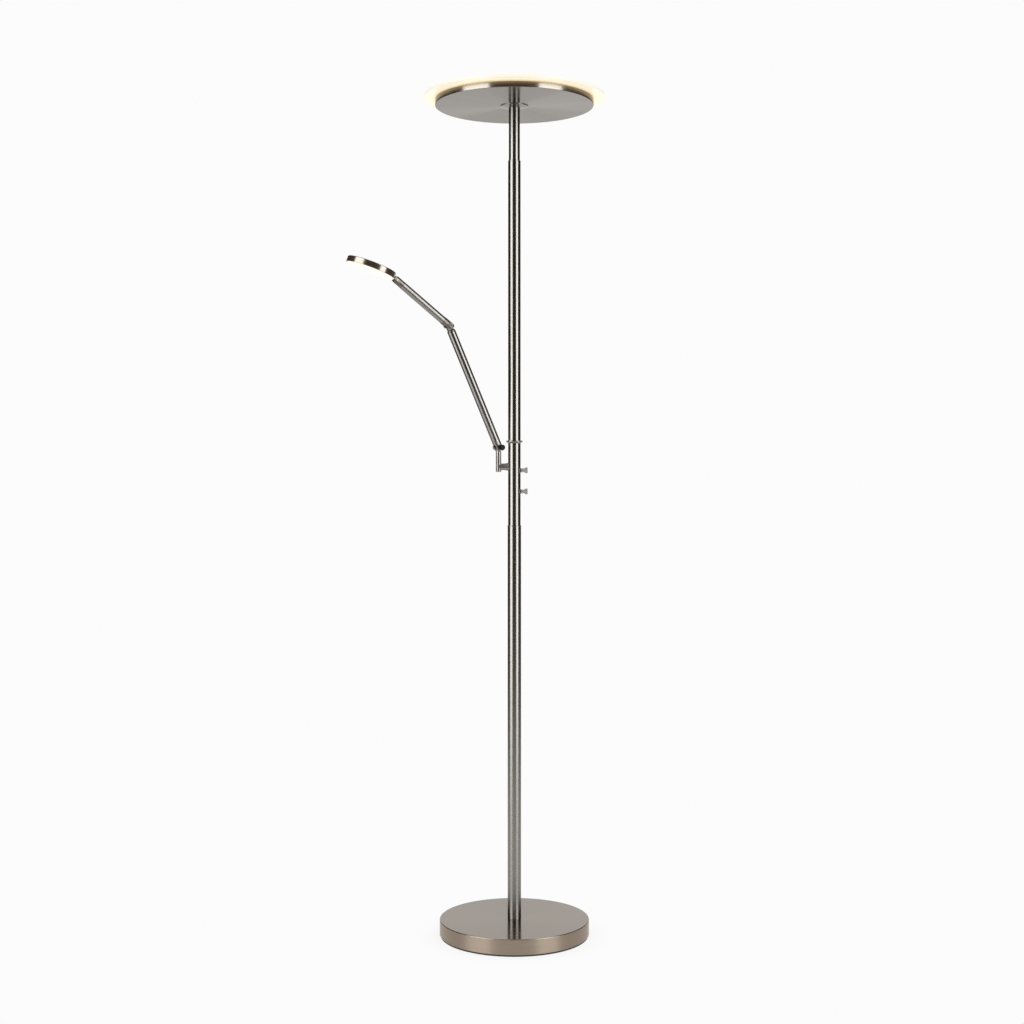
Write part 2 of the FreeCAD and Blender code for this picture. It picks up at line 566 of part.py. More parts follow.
def hub_screws():
    """Screws from inside the pan into the hub."""
    shank = rod(HUB_SCREW_RADIUS, HUB_BOTTOM + HUB_THICKNESS / 4, PAN_INSIDE)
    head = rod(HUB_SCREW_HEAD, PAN_INSIDE, PAN_INSIDE + HUB_SCREW_HEAD_HEIGHT)
    return around(shank.fuse(head).removeSplitter(), HUB_SCREW_COUNT, HUB_SCREW_CIRCLE)


def torch_pan():
    """Spun metal dish: flat floor and a low rim."""
    rim_top = PAN_UNDERSIDE + PAN_RIM_HEIGHT
    inside = PAN_RADIUS - PAN_RIM_WALL
    outline = [(POLE_PASSAGE, PAN_UNDERSIDE), (PAN_RADIUS, PAN_UNDERSIDE), (PAN_RADIUS, rim_top),
               (inside, rim_top), (inside, PAN_INSIDE), (POLE_PASSAGE, PAN_INSIDE)]
    pan = rounded(turned(outline), PAN_EDGE, (PAN_RADIUS, PAN_UNDERSIDE))
    pan = broken(pan, (PAN_RADIUS, rim_top))
    return pan.cut(hub_screw_holes(HUB_SCREW_RADIUS, PAN_UNDERSIDE, PAN_INSIDE))


def heat_spreader():
    """Aluminium disc on the pan's floor, open in the middle over the hub's screws."""
    return ring(SPREADER_RADIUS, HUB_RADIUS, PAN_INSIDE, SPREADER_TOP)


def led_board():
    return ring(BOARD_OUTER_RADIUS, BOARD_INNER_RADIUS, SPREADER_TOP, BOARD_TOP)


def led_chips():
    chip = block((CHIP_SIZE, CHIP_SIZE, CHIP_HEIGHT), FreeCAD.Vector(0, 0, BOARD_TOP))
    return around(chip, CHIP_COUNT, CHIP_CIRCLE)


def plate_posts():
    """Posts on the heat spreader, which carry the glow plate's pucks."""
    return around(rod(PLATE_POST_RADIUS, SPREADER_TOP, PUCK_BOTTOM), PLATE_POST_COUNT, PLATE_POST_CIRCLE, 45)


def plate_pucks():
    """Metal discs bonded under the glow plate."""
    puck = broken(rod(PUCK_RADIUS, PUCK_BOTTOM, GLOW_BOTTOM), (PUCK_RADIUS, PUCK_BOTTOM))
    return around(puck, PLATE_POST_COUNT, PLATE_POST_CIRCLE, 45)


def glow_plate():
    """Frosted plate, wider than the pan, with softened edges."""
    plate = rod(GLOW_RADIUS, GLOW_BOTTOM, GLOW_TOP)
    return rounded(plate, GLOW_EDGE, (GLOW_RADIUS, GLOW_BOTTOM), (GLOW_RADIUS, GLOW_TOP))


# ---------------------------------------------------------------- dimmers
def dimmer_front():
    """Distance of a potentiometer's front face from the pole's axis, close to the tube's wall."""
    return math.sqrt(MIDDLE_TUBE_BORE ** 2 - (DIMMER_BODY[1] / 2) ** 2) - SIDE_GAP


def dimmer_body(height):
    """Potentiometer inside the tube, with its threaded bush through the wall."""
    end = MIDDLE_TUBE_RADIUS + DIMMER_BUSH_REACH
    case = block(DIMMER_BODY, FreeCAD.Vector(dimmer_front() - DIMMER_BODY[0] / 2, 0,
                                             height - DIMMER_BODY[2] / 2))
    bush = rod_along_x(DIMMER_BUSH_RADIUS, dimmer_front(), end, height)
    bore = rod_along_x(DIMMER_SHAFT_RADIUS + RUNNING_FIT, dimmer_front(), end, height)
    return case.fuse(bush).cut(bore)


def dimmer_saddle(height):
    """Ring nut on the bush, hollowed at the back to sit on the round tube."""
    end = MIDDLE_TUBE_RADIUS + DIMMER_SADDLE_REACH
    disc = rod_along_x(DIMMER_BUSH_RADIUS + DIMMER_SADDLE_WIDTH, 0, end, height)
    hole = rod_along_x(DIMMER_BUSH_RADIUS, 0, end, height)
    tube = rod(MIDDLE_TUBE_RADIUS, height - COUPLER_GRIP, height + COUPLER_GRIP)
    return disc.cut([hole, tube])


def knob_start():
    """Distance of a dimmer knob's back face from the pole's axis."""
    return MIDDLE_TUBE_RADIUS + DIMMER_SADDLE_REACH + SIDE_GAP


def dimmer_shaft(height):
    start = dimmer_front() + SIDE_GAP
    end = knob_start() + KNOB_NECK_LENGTH + KNOB_CAP_LENGTH - KNOB_BORE_END
    return rod_along_x(DIMMER_SHAFT_RADIUS, start, end, height)


def dimmer_knob(height):
    """Turned knob: slim neck over the bush, flared and fluted cap."""
    length = KNOB_NECK_LENGTH + KNOB_CAP_LENGTH
    outline = [(0, 0), (KNOB_NECK_RADIUS, 0), (KNOB_NECK_RADIUS, KNOB_NECK_LENGTH),
               (KNOB_CAP_RADIUS, KNOB_NECK_LENGTH + KNOB_FLARE), (KNOB_CAP_RADIUS, length), (0, length)]
    knob = broken(turned(outline), (KNOB_CAP_RADIUS, length))
    knob = fluted(knob, KNOB_CAP_RADIUS, KNOB_FLUTE_RADIUS, KNOB_FLUTES, KNOB_NECK_LENGTH, length)
    bush_room = DIMMER_BUSH_REACH - DIMMER_SADDLE_REACH + SIDE_GAP
    knob = knob.cut([rod(DIMMER_SHAFT_RADIUS, 0, length - KNOB_BORE_END),
                     rod(DIMMER_BUSH_RADIUS + SIDE_GAP, 0, bush_room)])
    return shifted(turned_to(knob, X_AXIS), x=knob_start(), z=height)


# ---------------------------------------------------------------- bracket
def bracket_stub():
    """Turned stub: wide foot hollowed to the pole, coped to the post, spigot through the pole's wall."""
    foot = MIDDLE_TUBE_RADIUS + STUB_FLARE_LENGTH
    end = POST_OFFSET - POST_RADIUS + STUB_BITE
    outline = [(0, 0), (STUB_FLARE_RADIUS, 0), (STUB_FLARE_RADIUS, MIDDLE_TUBE_RADIUS),
               (STUB_RADIUS, foot), (STUB_RADIUS, end), (0, end)]
    stub = shifted(turned_to(turned(outline), -X_AXIS), z=STUB_HEIGHT)
    reach = 2 * STUB_FLARE_RADIUS
    stub = stub.cut(rod(MIDDLE_TUBE_RADIUS, STUB_HEIGHT - reach, STUB_HEIGHT + reach))
    spigot = rod_along_x(STUB_SPIGOT_RADIUS, -foot, STUB_SPIGOT_REACH - MIDDLE_TUBE_RADIUS, STUB_HEIGHT)
    passage = rod_along_x(STUD_PASSAGE, -POST_OFFSET, 0, STUB_HEIGHT)
    post = rod(POST_RADIUS, POST_BOTTOM, POST_TOP, x=-POST_OFFSET)
    return stub.fuse(spigot).removeSplitter().cut([passage, post])


def stub_nut_seat():
    """X of the washer's flat face, where its edge is as thin as a plain washer."""
    return WASHER_THICKNESS - math.sqrt(MIDDLE_TUBE_BORE ** 2 - STUB_WASHER_RADIUS ** 2)


def stub_washer():
    """Washer inside the pole, with its back shaped to the tube."""
    disc = rod_along_x(STUB_WASHER_RADIUS, -MIDDLE_TUBE_RADIUS, stub_nut_seat(), STUB_HEIGHT)
    inside = rod(MIDDLE_TUBE_BORE, STUB_HEIGHT - COUPLER_GRIP, STUB_HEIGHT + COUPLER_GRIP)
    return disc.common(inside).cut(rod_along_x(STUB_SPIGOT_RADIUS, -MIDDLE_TUBE_RADIUS, 0, STUB_HEIGHT))


def stub_nut():
    nut = hexagon(2 * (STUB_SPIGOT_RADIUS + STUB_NUT_WALL), 0, STUB_NUT_THICKNESS)
    nut = nut.cut(rod(STUB_SPIGOT_RADIUS, 0, STUB_NUT_THICKNESS))
    return shifted(turned_to(nut, X_AXIS), x=stub_nut_seat(), z=STUB_HEIGHT)


def bracket_post():
    """Upright socket that the arm's stem turns in."""
    post = rod(POST_RADIUS, POST_BOTTOM, POST_TOP)
    post = broken(post, (POST_RADIUS, POST_BOTTOM))
    socket = rod(SWIVEL_RADIUS + RUNNING_FIT, POST_BOTTOM + POST_FLOOR, POST_TOP)
    screw = rod_along_y(SWIVEL_SCREW_RADIUS, 0, POST_RADIUS, SWIVEL_SCREW_HEIGHT)
    return shifted(post.cut([socket, screw]), x=-POST_OFFSET)


def swivel_screw():
    """Grub screw whose tip rides in the stem's groove and holds it down."""
    tip = SWIVEL_RADIUS - SWIVEL_GROOVE_DEPTH + SIDE_GAP
    screw = rod_along_y(SWIVEL_SCREW_RADIUS, tip, POST_RADIUS - SWIVEL_SCREW_RECESS, SWIVEL_SCREW_HEIGHT)
    return shifted(screw, x=-POST_OFFSET)


# ---------------------------------------------------------------- reading arm
def nose(radius, end):
    """What a rounded bar end keeps: a half circle about the pin, seen along it."""
    slab = block((2 * radius, 2 * radius, end), ORIGIN)
    return rod_along_y(radius, -radius, radius).fuse(slab)


def clevis(radius, length, slot, tongue_radius, pin_radius, seat, seat_radius):
    """Fork cut in a round bar, with its pin hole at the origin along Y."""
    bar = rod(radius, -radius, length).common(nose(radius, length))
    depth = tongue_radius + HINGE_SLOT_CLEARANCE
    gap = block((2 * radius, slot, radius + depth), FreeCAD.Vector(0, 0, -radius))
    cuts = [gap, rod_along_y(pin_radius, -radius, radius)]
    if seat:
        cuts += [rod_along_y(seat_radius, seat, radius), rod_along_y(seat_radius, -radius, -seat)]
    return bar.cut(cuts)


def tongue(radius, thickness, neck_radius, neck_end, pin_radius):
    """Flat eye about the pin, on a neck that runs down to a round body."""
    eye = rod_along_y(radius, -thickness / 2, thickness / 2)
    neck = rod(neck_radius, neck_end, 0)
    neck = neck.common(block((2 * neck_radius, thickness, -neck_end), FreeCAD.Vector(0, 0, neck_end)))
    hole = rod_along_y(pin_radius + RUNNING_FIT, -thickness, thickness)
    return eye.fuse(neck).removeSplitter().cut(hole)


def arm_stem():
    """Stem that turns in the post and ends in the lower hinge's tongue."""
    body_top = -LOWER_CLEVIS_RADIUS - SIDE_GAP
    body_bottom = POST_TOP + SIDE_GAP - LOWER_HINGE_HEIGHT
    spigot_bottom = POST_BOTTOM + POST_FLOOR + SIDE_GAP - LOWER_HINGE_HEIGHT
    groove = SWIVEL_SCREW_HEIGHT - LOWER_HINGE_HEIGHT
    outline = [(0, spigot_bottom), (SWIVEL_RADIUS, spigot_bottom),
               (SWIVEL_RADIUS, groove - SWIVEL_GROOVE_WIDTH / 2),
               (SWIVEL_RADIUS - SWIVEL_GROOVE_DEPTH, groove - SWIVEL_GROOVE_WIDTH / 2),
               (SWIVEL_RADIUS - SWIVEL_GROOVE_DEPTH, groove + SWIVEL_GROOVE_WIDTH / 2),
               (SWIVEL_RADIUS, groove + SWIVEL_GROOVE_WIDTH / 2),
               (SWIVEL_RADIUS, body_bottom), (POST_RADIUS, body_bottom), (POST_RADIUS, body_top),
               (0, body_top)]
    eye = tongue(LOWER_TONGUE_RADIUS, LOWER_TONGUE_THICKNESS, POST_RADIUS, body_top, LOWER_PIN_RADIUS)
    return placed(turned(outline).fuse(eye).removeSplitter(), SWIVEL_FRAME)


def lower_clevis():
    """Fitting at the foot of the lower arm: clevis outside, plug inside the tube."""
    fork = clevis(LOWER_CLEVIS_RADIUS, LOWER_CLEVIS_LENGTH, LOWER_SLOT, LOWER_TONGUE_RADIUS,
                  LOWER_PIN_RADIUS, LOWER_SEAT, PIN_CAP_RADIUS + SEAT_MARGIN)
    plug = rod(LOWER_ARM_BORE, LOWER_CLEVIS_LENGTH, LOWER_CLEVIS_LENGTH + ARM_PLUG)
    return placed(fork.fuse(plug).removeSplitter(), LOWER_ARM_FRAME)


def lower_arm_tube():
    return placed(ring(LOWER_ARM_RADIUS, LOWER_ARM_BORE, LOWER_CLEVIS_LENGTH, LOWER_ARM_TUBE_END),
                  LOWER_ARM_FRAME)


def hinge_pin():
    """Pin through the lower hinge: the cap nut on one end and the friction knob on the other."""
    end = LOWER_SEAT + SIDE_GAP + FRICTION_KNOB_BORE
    return placed(rod_along_y(LOWER_PIN_RADIUS, -LOWER_SEAT, end), LOWER_ARM_FRAME)


def friction_knob():
    """Black fluted knob on the hinge pin, which sets the arm's friction."""
    shape = turned([(0, 0), (FRICTION_KNOB_NECK_RADIUS, 0),
                    (FRICTION_KNOB_NECK_RADIUS, FRICTION_KNOB_NECK),
                    (FRICTION_KNOB_RADIUS, FRICTION_KNOB_NECK),
                    (FRICTION_KNOB_RADIUS, FRICTION_KNOB_LENGTH), (0, FRICTION_KNOB_LENGTH)])
    shape = broken(shape, (FRICTION_KNOB_RADIUS, FRICTION_KNOB_LENGTH), size=2 * EDGE_BREAK)
    shape = fluted(shape, FRICTION_KNOB_RADIUS, FRICTION_KNOB_FLUTE_RADIUS, FRICTION_KNOB_FLUTES,
                   FRICTION_KNOB_NECK, FRICTION_KNOB_LENGTH)
    shape = shape.cut(rod(LOWER_PIN_RADIUS + RUNNING_FIT, 0, FRICTION_KNOB_BORE + SIDE_GAP))
    return placed(shifted(turned_to(shape, Y_AXIS), y=LOWER_SEAT + SIDE_GAP), LOWER_ARM_FRAME)


def hinge_cap():
    """Domed cap nut on the far end of the hinge pin."""
    cap = rounded(rod(PIN_CAP_RADIUS, 0, PIN_CAP_LENGTH), PIN_CAP_DOME, (PIN_CAP_RADIUS, PIN_CAP_LENGTH))
    return placed(shifted(turned_to(cap, -Y_AXIS), y=-LOWER_SEAT), LOWER_ARM_FRAME)


def elbow_tongue():
    """Fitting at the top of the lower arm: plug, rounded shoulder and the elbow's tongue."""
    eye = tongue(ELBOW_TONGUE_RADIUS, ELBOW_TONGUE_THICKNESS, ELBOW_TONGUE_RADIUS,
                 SHOULDER_TOP - LOWER_ARM_LENGTH, ELBOW_PIN_RADIUS)
    eye = shifted(eye, z=LOWER_ARM_LENGTH)
    shoulder = rod(LOWER_ARM_RADIUS, LOWER_ARM_TUBE_END, SHOULDER_TOP)
    shoulder = rounded(shoulder, SHOULDER_LENGTH - EDGE_BREAK, (LOWER_ARM_RADIUS, SHOULDER_TOP))
    plug = rod(LOWER_ARM_BORE, LOWER_ARM_TUBE_END - ARM_PLUG, LOWER_ARM_TUBE_END)
    return placed(shoulder.fuse([plug, eye]).removeSplitter(), LOWER_ARM_FRAME)


def elbow_clevis():
    fork = clevis(ELBOW_CLEVIS_RADIUS, ELBOW_CLEVIS_LENGTH, ELBOW_SLOT, ELBOW_TONGUE_RADIUS,
                  ELBOW_PIN_RADIUS, ELBOW_SEAT, ELBOW_SCREW_RADIUS + SEAT_MARGIN)
    plug = rod(UPPER_ARM_BORE, ELBOW_CLEVIS_LENGTH, ELBOW_CLEVIS_LENGTH + ARM_PLUG)
    return placed(fork.fuse(plug).removeSplitter(), UPPER_ARM_FRAME)


def elbow_screw():
    """Shoulder screw through the elbow, with a hexagon socket in its low head."""
    shank = rod(ELBOW_PIN_RADIUS, -ELBOW_SEAT - ELBOW_NUT_BORE, ELBOW_SEAT)
    head = rod(ELBOW_SCREW_RADIUS, ELBOW_SEAT, ELBOW_SEAT + ELBOW_SCREW_HEIGHT)
    head = broken(head, (ELBOW_SCREW_RADIUS, ELBOW_SEAT + ELBOW_SCREW_HEIGHT))
    top = ELBOW_SEAT + ELBOW_SCREW_HEIGHT
    socket = hexagon(ELBOW_SOCKET_FLATS, top - ELBOW_SOCKET_DEPTH, top)
    screw = head.fuse(shank).removeSplitter().cut(socket)
    return placed(turned_to(screw, Y_AXIS), UPPER_ARM_FRAME)


def elbow_nut():
    """Round nut on the far side of the elbow."""
    nut = rod(ELBOW_NUT_RADIUS, 0, ELBOW_NUT_LENGTH)
    nut = rounded(nut, 2 * EDGE_BREAK, (ELBOW_NUT_RADIUS, ELBOW_NUT_LENGTH))
    nut = nut.cut(rod(ELBOW_PIN_RADIUS, 0, ELBOW_NUT_BORE))
    return placed(shifted(turned_to(nut, -Y_AXIS), y=-ELBOW_SEAT), UPPER_ARM_FRAME)


def upper_arm_tube():
    return placed(ring(UPPER_ARM_RADIUS, UPPER_ARM_BORE, ELBOW_CLEVIS_LENGTH, UPPER_ARM_TUBE_END),
                  UPPER_ARM_FRAME)


def fork_bush():
    """Bush pressed in the end of the upper arm's tube."""
    return placed(ring(UPPER_ARM_BORE, FORK_SPIGOT_RADIUS + RUNNING_FIT,
                       UPPER_ARM_TUBE_END - FORK_BUSH_LENGTH, UPPER_ARM_TUBE_END), UPPER_ARM_FRAME)


def clip_bottom():
    """Height of the clip's lower face in the fork's frame, just past the bush."""
    return UPPER_ARM_TUBE_END - FORK_BUSH_LENGTH - SIDE_GAP - CLIP_THICKNESS - UPPER_ARM_LENGTH


def head_fork():
    """Fork that holds the head's lug and turns on its spigot in the bush."""
    fork = clevis(FORK_RADIUS, FORK_LENGTH, FORK_SLOT, HEAD_LUG_RADIUS, HEAD_PIN_RADIUS, 0, 0)
    fork = fork.common(nose(FORK_NOSE_RADIUS, FORK_LENGTH).fuse(
        rod(FORK_RADIUS, FORK_NOSE_RADIUS, FORK_LENGTH)))
    fork = turned_to(fork, -UP)
    spigot = rod(FORK_SPIGOT_RADIUS, -FORK_LENGTH - FORK_SPIGOT_LENGTH, -FORK_LENGTH)
    groove = ring(FORK_SPIGOT_RADIUS, FORK_SPIGOT_RADIUS - CLIP_GROOVE_DEPTH,
                  clip_bottom(), clip_bottom() + CLIP_THICKNESS)
    return placed(fork.fuse(spigot).removeSplitter().cut(groove), FORK_FRAME)


def fork_clip():
    """Retaining ring behind the bush, in the spigot's groove."""
    return placed(ring(CLIP_RADIUS, FORK_SPIGOT_RADIUS - CLIP_GROOVE_DEPTH,
                       clip_bottom(), clip_bottom() + CLIP_THICKNESS), FORK_FRAME)


def head_pin():
    half = math.sqrt(FORK_RADIUS ** 2 - HEAD_PIN_RADIUS ** 2)
    return placed(rod_along_y(HEAD_PIN_RADIUS, -half, half), FORK_FRAME)


# ---------------------------------------------------------------- reading head
def on_head_axis(shape):
    """Move a piece turned about Z, with its lit side up, onto the axis of the head."""
    return shifted(turned_to(shape, X_AXIS), x=-HEAD_OFFSET, z=HEAD_MIDDLE)


def in_head(shape):
    return placed(on_head_axis(shape), HEAD_FRAME)


def head_housing():
    """Spun housing, closed above, with a ledge for the diffuser and a lug for the pivot."""
    half = HEAD_HEIGHT / 2
    inside = HEAD_RADIUS - HEAD_WALL
    ledge = half - HEAD_DIFFUSER_THICKNESS + HEAD_DIFFUSER_PROUD
    shell = turned([(0, -half), (HEAD_RADIUS, -half), (HEAD_RADIUS, half), (inside, half),
                    (inside, ledge), (inside - HEAD_LEDGE, ledge), (inside - HEAD_LEDGE, HEAD_WALL - half),
                    (0, HEAD_WALL - half)])
    shell = rounded(shell, HEAD_EDGE, (HEAD_RADIUS, -half))
    shell = broken(shell, (HEAD_RADIUS, half))
    return placed(on_head_axis(shell).fuse(head_lug()).removeSplitter(), HEAD_FRAME)


def head_lug():
    """Flat lug from the rim to the pivot, tapering to a round eye."""
    rim = HEAD_MIDDLE - HEAD_RADIUS + HEAD_WALL / 2
    corners = [FreeCAD.Vector(-HEAD_LUG_RADIUS, 0, 0),
               FreeCAD.Vector(-half_lug_height() - HEAD_OFFSET, 0, rim),
               FreeCAD.Vector(half_lug_height() - HEAD_OFFSET, 0, rim),
               FreeCAD.Vector(HEAD_LUG_RADIUS, 0, 0)]
    plate = Part.Face(Part.makePolygon(corners + corners[:1]))
    plate = plate.extrude(FreeCAD.Vector(0, HEAD_LUG_THICKNESS, 0))
    plate.translate(FreeCAD.Vector(0, -HEAD_LUG_THICKNESS / 2, 0))
    eye = rod_along_y(HEAD_LUG_RADIUS, -HEAD_LUG_THICKNESS / 2, HEAD_LUG_THICKNESS / 2)
    hole = rod_along_y(HEAD_PIN_RADIUS + RUNNING_FIT, -HEAD_LUG_THICKNESS, HEAD_LUG_THICKNESS)
    return plate.fuse(eye).removeSplitter().cut(hole)


def half_lug_height():
    """Half the lug's height at the rim, inside the rim's rounded edges."""
    return HEAD_HEIGHT / 2 - HEAD_EDGE


def head_standoffs():
    """Bosses between the housing's top and the light board."""
    bottom = HEAD_WALL - HEAD_HEIGHT / 2
    boss = rod(HEAD_STANDOFF_RADIUS, bottom, bottom + HEAD_STANDOFF_HEIGHT)
    return [in_head(copy) for copy in around(boss, HEAD_STANDOFF_COUNT, HEAD_STANDOFF_CIRCLE)]


def head_board_bottom():
    return HEAD_WALL - HEAD_HEIGHT / 2 + HEAD_STANDOFF_HEIGHT


def head_board():
    radius = HEAD_RADIUS - HEAD_WALL - HEAD_LEDGE - HEAD_BOARD_MARGIN
    return in_head(rod(radius, head_board_bottom(), head_board_bottom() + HEAD_BOARD_THICKNESS))


def head_chips():
    top = head_board_bottom() + HEAD_BOARD_THICKNESS
    chip = block((CHIP_SIZE, CHIP_SIZE, CHIP_HEIGHT), FreeCAD.Vector(0, 0, top))
    return [in_head(copy) for copy in around(chip, HEAD_CHIP_COUNT, HEAD_CHIP_CIRCLE)]


def head_diffuser():
    """Frosted disc in the rim, resting on the ledge."""
    radius = HEAD_RADIUS - HEAD_WALL - HEAD_DIFFUSER_MARGIN
    face = HEAD_HEIGHT / 2 + HEAD_DIFFUSER_PROUD
    disc = rod(radius, face - HEAD_DIFFUSER_THICKNESS, face)
    return in_head(rounded(disc, HEAD_DIFFUSER_PROUD, (radius, face)))


# ---------------------------------------------------------------- the lamp
def pieces():
    """Every node of the lamp, from the floor up, as a name and its solids."""
    heights = DIMMER_HEIGHTS
    return {
        "base_pad": base_pad(), "base_weight": base_weight(), "base_cover": base_cover(),
        "base_stud": base_stud(), "base_washer": base_washer(), "base_nut": base_nut(),
        "power_supply": power_supply(), "inlet_bush": inlet_bush(), "pole_wire": pole_wire(),
        "pole_foot": pole_foot(), "lower_tube": lower_tube(), "lower_coupler": lower_coupler(),
        "dimmer_tube": dimmer_tube(), "pole_collar": pole_collar(), "collar_sleeve": collar_sleeve(),
        "upper_tube": upper_tube(), "upper_coupler": upper_coupler(), "top_tube": top_tube(),
        "pan_hub": pan_hub(), "hub_screws": hub_screws(), "torch_pan": torch_pan(),
        "heat_spreader": heat_spreader(), "led_board": led_board(), "led_chips": led_chips(),
        "plate_posts": plate_posts(), "plate_pucks": plate_pucks(), "glow_plate": glow_plate(),
        "dimmer_bodies": [dimmer_body(height) for height in heights.values()],
        "dimmer_saddles": [dimmer_saddle(height) for height in heights.values()],
        "reading_dimmer_shaft": dimmer_shaft(heights["reading"]),
        "reading_dimmer_knob": dimmer_knob(heights["reading"]),
        "main_dimmer_shaft": dimmer_shaft(heights["main"]),
        "main_dimmer_knob": dimmer_knob(heights["main"]),
        "bracket_stub": bracket_stub(), "stub_washer": stub_washer(), "stub_nut": stub_nut(),
        "bracket_post": bracket_post(), "swivel_screw": swivel_screw(), "arm_stem": arm_stem(),
        "lower_clevis": lower_clevis(), "lower_arm_tube": lower_arm_tube(), "hinge_pin": hinge_pin(),
        "friction_knob": friction_knob(), "hinge_cap": hinge_cap(), "elbow_tongue": elbow_tongue(),
        "elbow_clevis": elbow_clevis(), "elbow_screw": elbow_screw(), "elbow_nut": elbow_nut(),
        "upper_arm_tube": upper_arm_tube(), "fork_bush": fork_bush(), "head_fork": head_fork(),
        "fork_clip": fork_clip(), "head_pin": head_pin(),
        "head_housing": head_housing(), "head_standoffs": head_standoffs(), "head_board": head_board(),
        "head_chips": head_chips(), "head_diffuser": head_diffuser(),
    }


os.makedirs("parts", exist_ok=True)
for name, shape in pieces().items():
    if isinstance(shape, list):
        shape = Part.makeCompound(shape)
    shape.exportStep(f"parts/{name}.step")
    print(f"{name}: {len(shape.Solids)} solid(s), {shape.Volume / 1000:.2f} cm3, valid {shape.isValid()}")
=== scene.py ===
import bpy
import bmesh
import json
import math
from mathutils import Matrix, Vector


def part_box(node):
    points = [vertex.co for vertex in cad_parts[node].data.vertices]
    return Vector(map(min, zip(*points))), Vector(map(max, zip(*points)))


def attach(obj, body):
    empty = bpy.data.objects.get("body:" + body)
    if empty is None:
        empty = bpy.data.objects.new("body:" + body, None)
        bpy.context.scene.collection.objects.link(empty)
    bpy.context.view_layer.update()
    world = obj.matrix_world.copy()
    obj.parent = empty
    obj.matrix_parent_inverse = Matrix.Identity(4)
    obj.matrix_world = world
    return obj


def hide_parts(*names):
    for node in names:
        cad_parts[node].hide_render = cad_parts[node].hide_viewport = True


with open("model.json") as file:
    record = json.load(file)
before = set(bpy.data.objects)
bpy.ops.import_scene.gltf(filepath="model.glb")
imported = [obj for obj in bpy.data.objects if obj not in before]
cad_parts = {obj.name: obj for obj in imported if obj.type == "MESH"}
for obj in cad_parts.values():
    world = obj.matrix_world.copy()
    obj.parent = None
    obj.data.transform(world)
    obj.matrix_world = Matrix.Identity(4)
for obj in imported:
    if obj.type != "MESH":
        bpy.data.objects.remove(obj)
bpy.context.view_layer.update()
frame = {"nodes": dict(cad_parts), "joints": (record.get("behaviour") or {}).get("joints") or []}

# ------------------------------------------------------------ floor pad and inlet bush
# Black rubber. The pad is punched from grained sheet and bonded under the cast weight, and the
# bush is moulded with two flanges that snap into the hole in the back of the base cover.


def set_on_shader(finish, settings):
    """Fixed values on the surface shader, each under the name of its socket."""
    shader = finish.node_tree.nodes["Principled BSDF"]
    for socket, value in settings.items():
        shader.inputs[socket].default_value = value


def onto_shader(finish, socket, output):
    """Feed a node's output to the surface shader."""
    shader = finish.node_tree.nodes["Principled BSDF"]
    finish.node_tree.links.new(output, shader.inputs[socket])


def new_finish(name, colour, roughness, metallic=0.0):
    """A finish for a surface, from its plain colour and roughness."""
    finish = bpy.data.materials.new(name)
    finish.use_nodes = True
    set_on_shader(finish, {"Base Color": (*colour, 1), "Roughness": roughness, "Metallic": metallic})
    return finish


def add_node(finish, kind, inputs=None, **options):
    """One node in a finish. Each input takes a value or another node's output."""
    made = finish.node_tree.nodes.new("ShaderNode" + kind)
    for option, value in options.items():
        setattr(made, option, value)
    for socket, value in (inputs or {}).items():
        if isinstance(value, bpy.types.NodeSocket):
            finish.node_tree.links.new(value, made.inputs[socket])
        else:
            made.inputs[socket].default_value = value
    return made


grain_low = 0.3
grain_high = 0.7


def speckle(finish, fineness, detail=3.0):
    """Even grain through the piece, as many grains to the metre as fineness says.

    Nearly all of it lies between grain_low and grain_high.
    """
    place = add_node(finish, "TexCoord")
    noise = add_node(finish, "TexNoise", {"Vector": place.outputs["Object"], "Scale": fineness,
                                          "Detail": detail, "Roughness": 0.6})
    return noise.outputs["Fac"]


def graded(finish, level, first, *rest):
    """Colour that passes through its stops, (level, colour) each, as the level rises."""
    ramp = add_node(finish, "ValToRGB", {"Fac": level})
    start, end = ramp.color_ramp.elements
    for element, (position, colour) in ((start, first), (end, rest[-1])):
        element.position = position
        element.color = (*colour, 1)
    for position, colour in rest[:-1]:
        ramp.color_ramp.elements.new(position).color = (*colour, 1)
    return ramp.outputs["Color"]


def tone(finish, grain, dark, light, low=0.35, high=0.65):
    """Colour that drifts between two tones with the grain."""
    onto_shader(finish, "Base Color", graded(finish, grain, (low, dark), (high, light)))


def drifting(finish, grain, low, high):
    """A value that drifts between two limits with the grain."""
    drift = add_node(finish, "MapRange", {"Value": grain, "From Min": grain_low,
                                          "From Max": grain_high, "To Min": low, "To Max": high})
    return drift.outputs["Result"]


def worn(finish, grain, low, high):
    """Roughness that drifts between two values with the grain."""
    onto_shader(finish, "Roughness", drifting(finish, grain, low, high))


def raised(finish, grain, depth, strength=0.6):
    """Relief of a given depth in metres, from the grain."""
    bump = add_node(finish, "Bump", {"Height": grain, "Distance": depth, "Strength": strength})
    onto_shader(finish, "Normal", bump.outputs["Normal"])


def grained(name, colour, roughness, tones, fineness, detail=3.0, wear=None, relief=None, metallic=0.0):
    """A finish with an even grain in its tones, in its roughness (wear) and in its surface (relief)."""
    finish = new_finish(name, colour, roughness, metallic)
    grain = speckle(finish, fineness, detail)
    tone(finish, grain, *tones)
    if wear:
        worn(finish, grain, *wear)
    if relief:
        raised(finish, grain, *relief)
    return finish


def dress(finish, *names):
    """Give a finish to pieces that keep their form."""
    for name in names:
        piece = frame["nodes"][name]
        piece.data.materials.clear()
        piece.data.materials.append(finish)


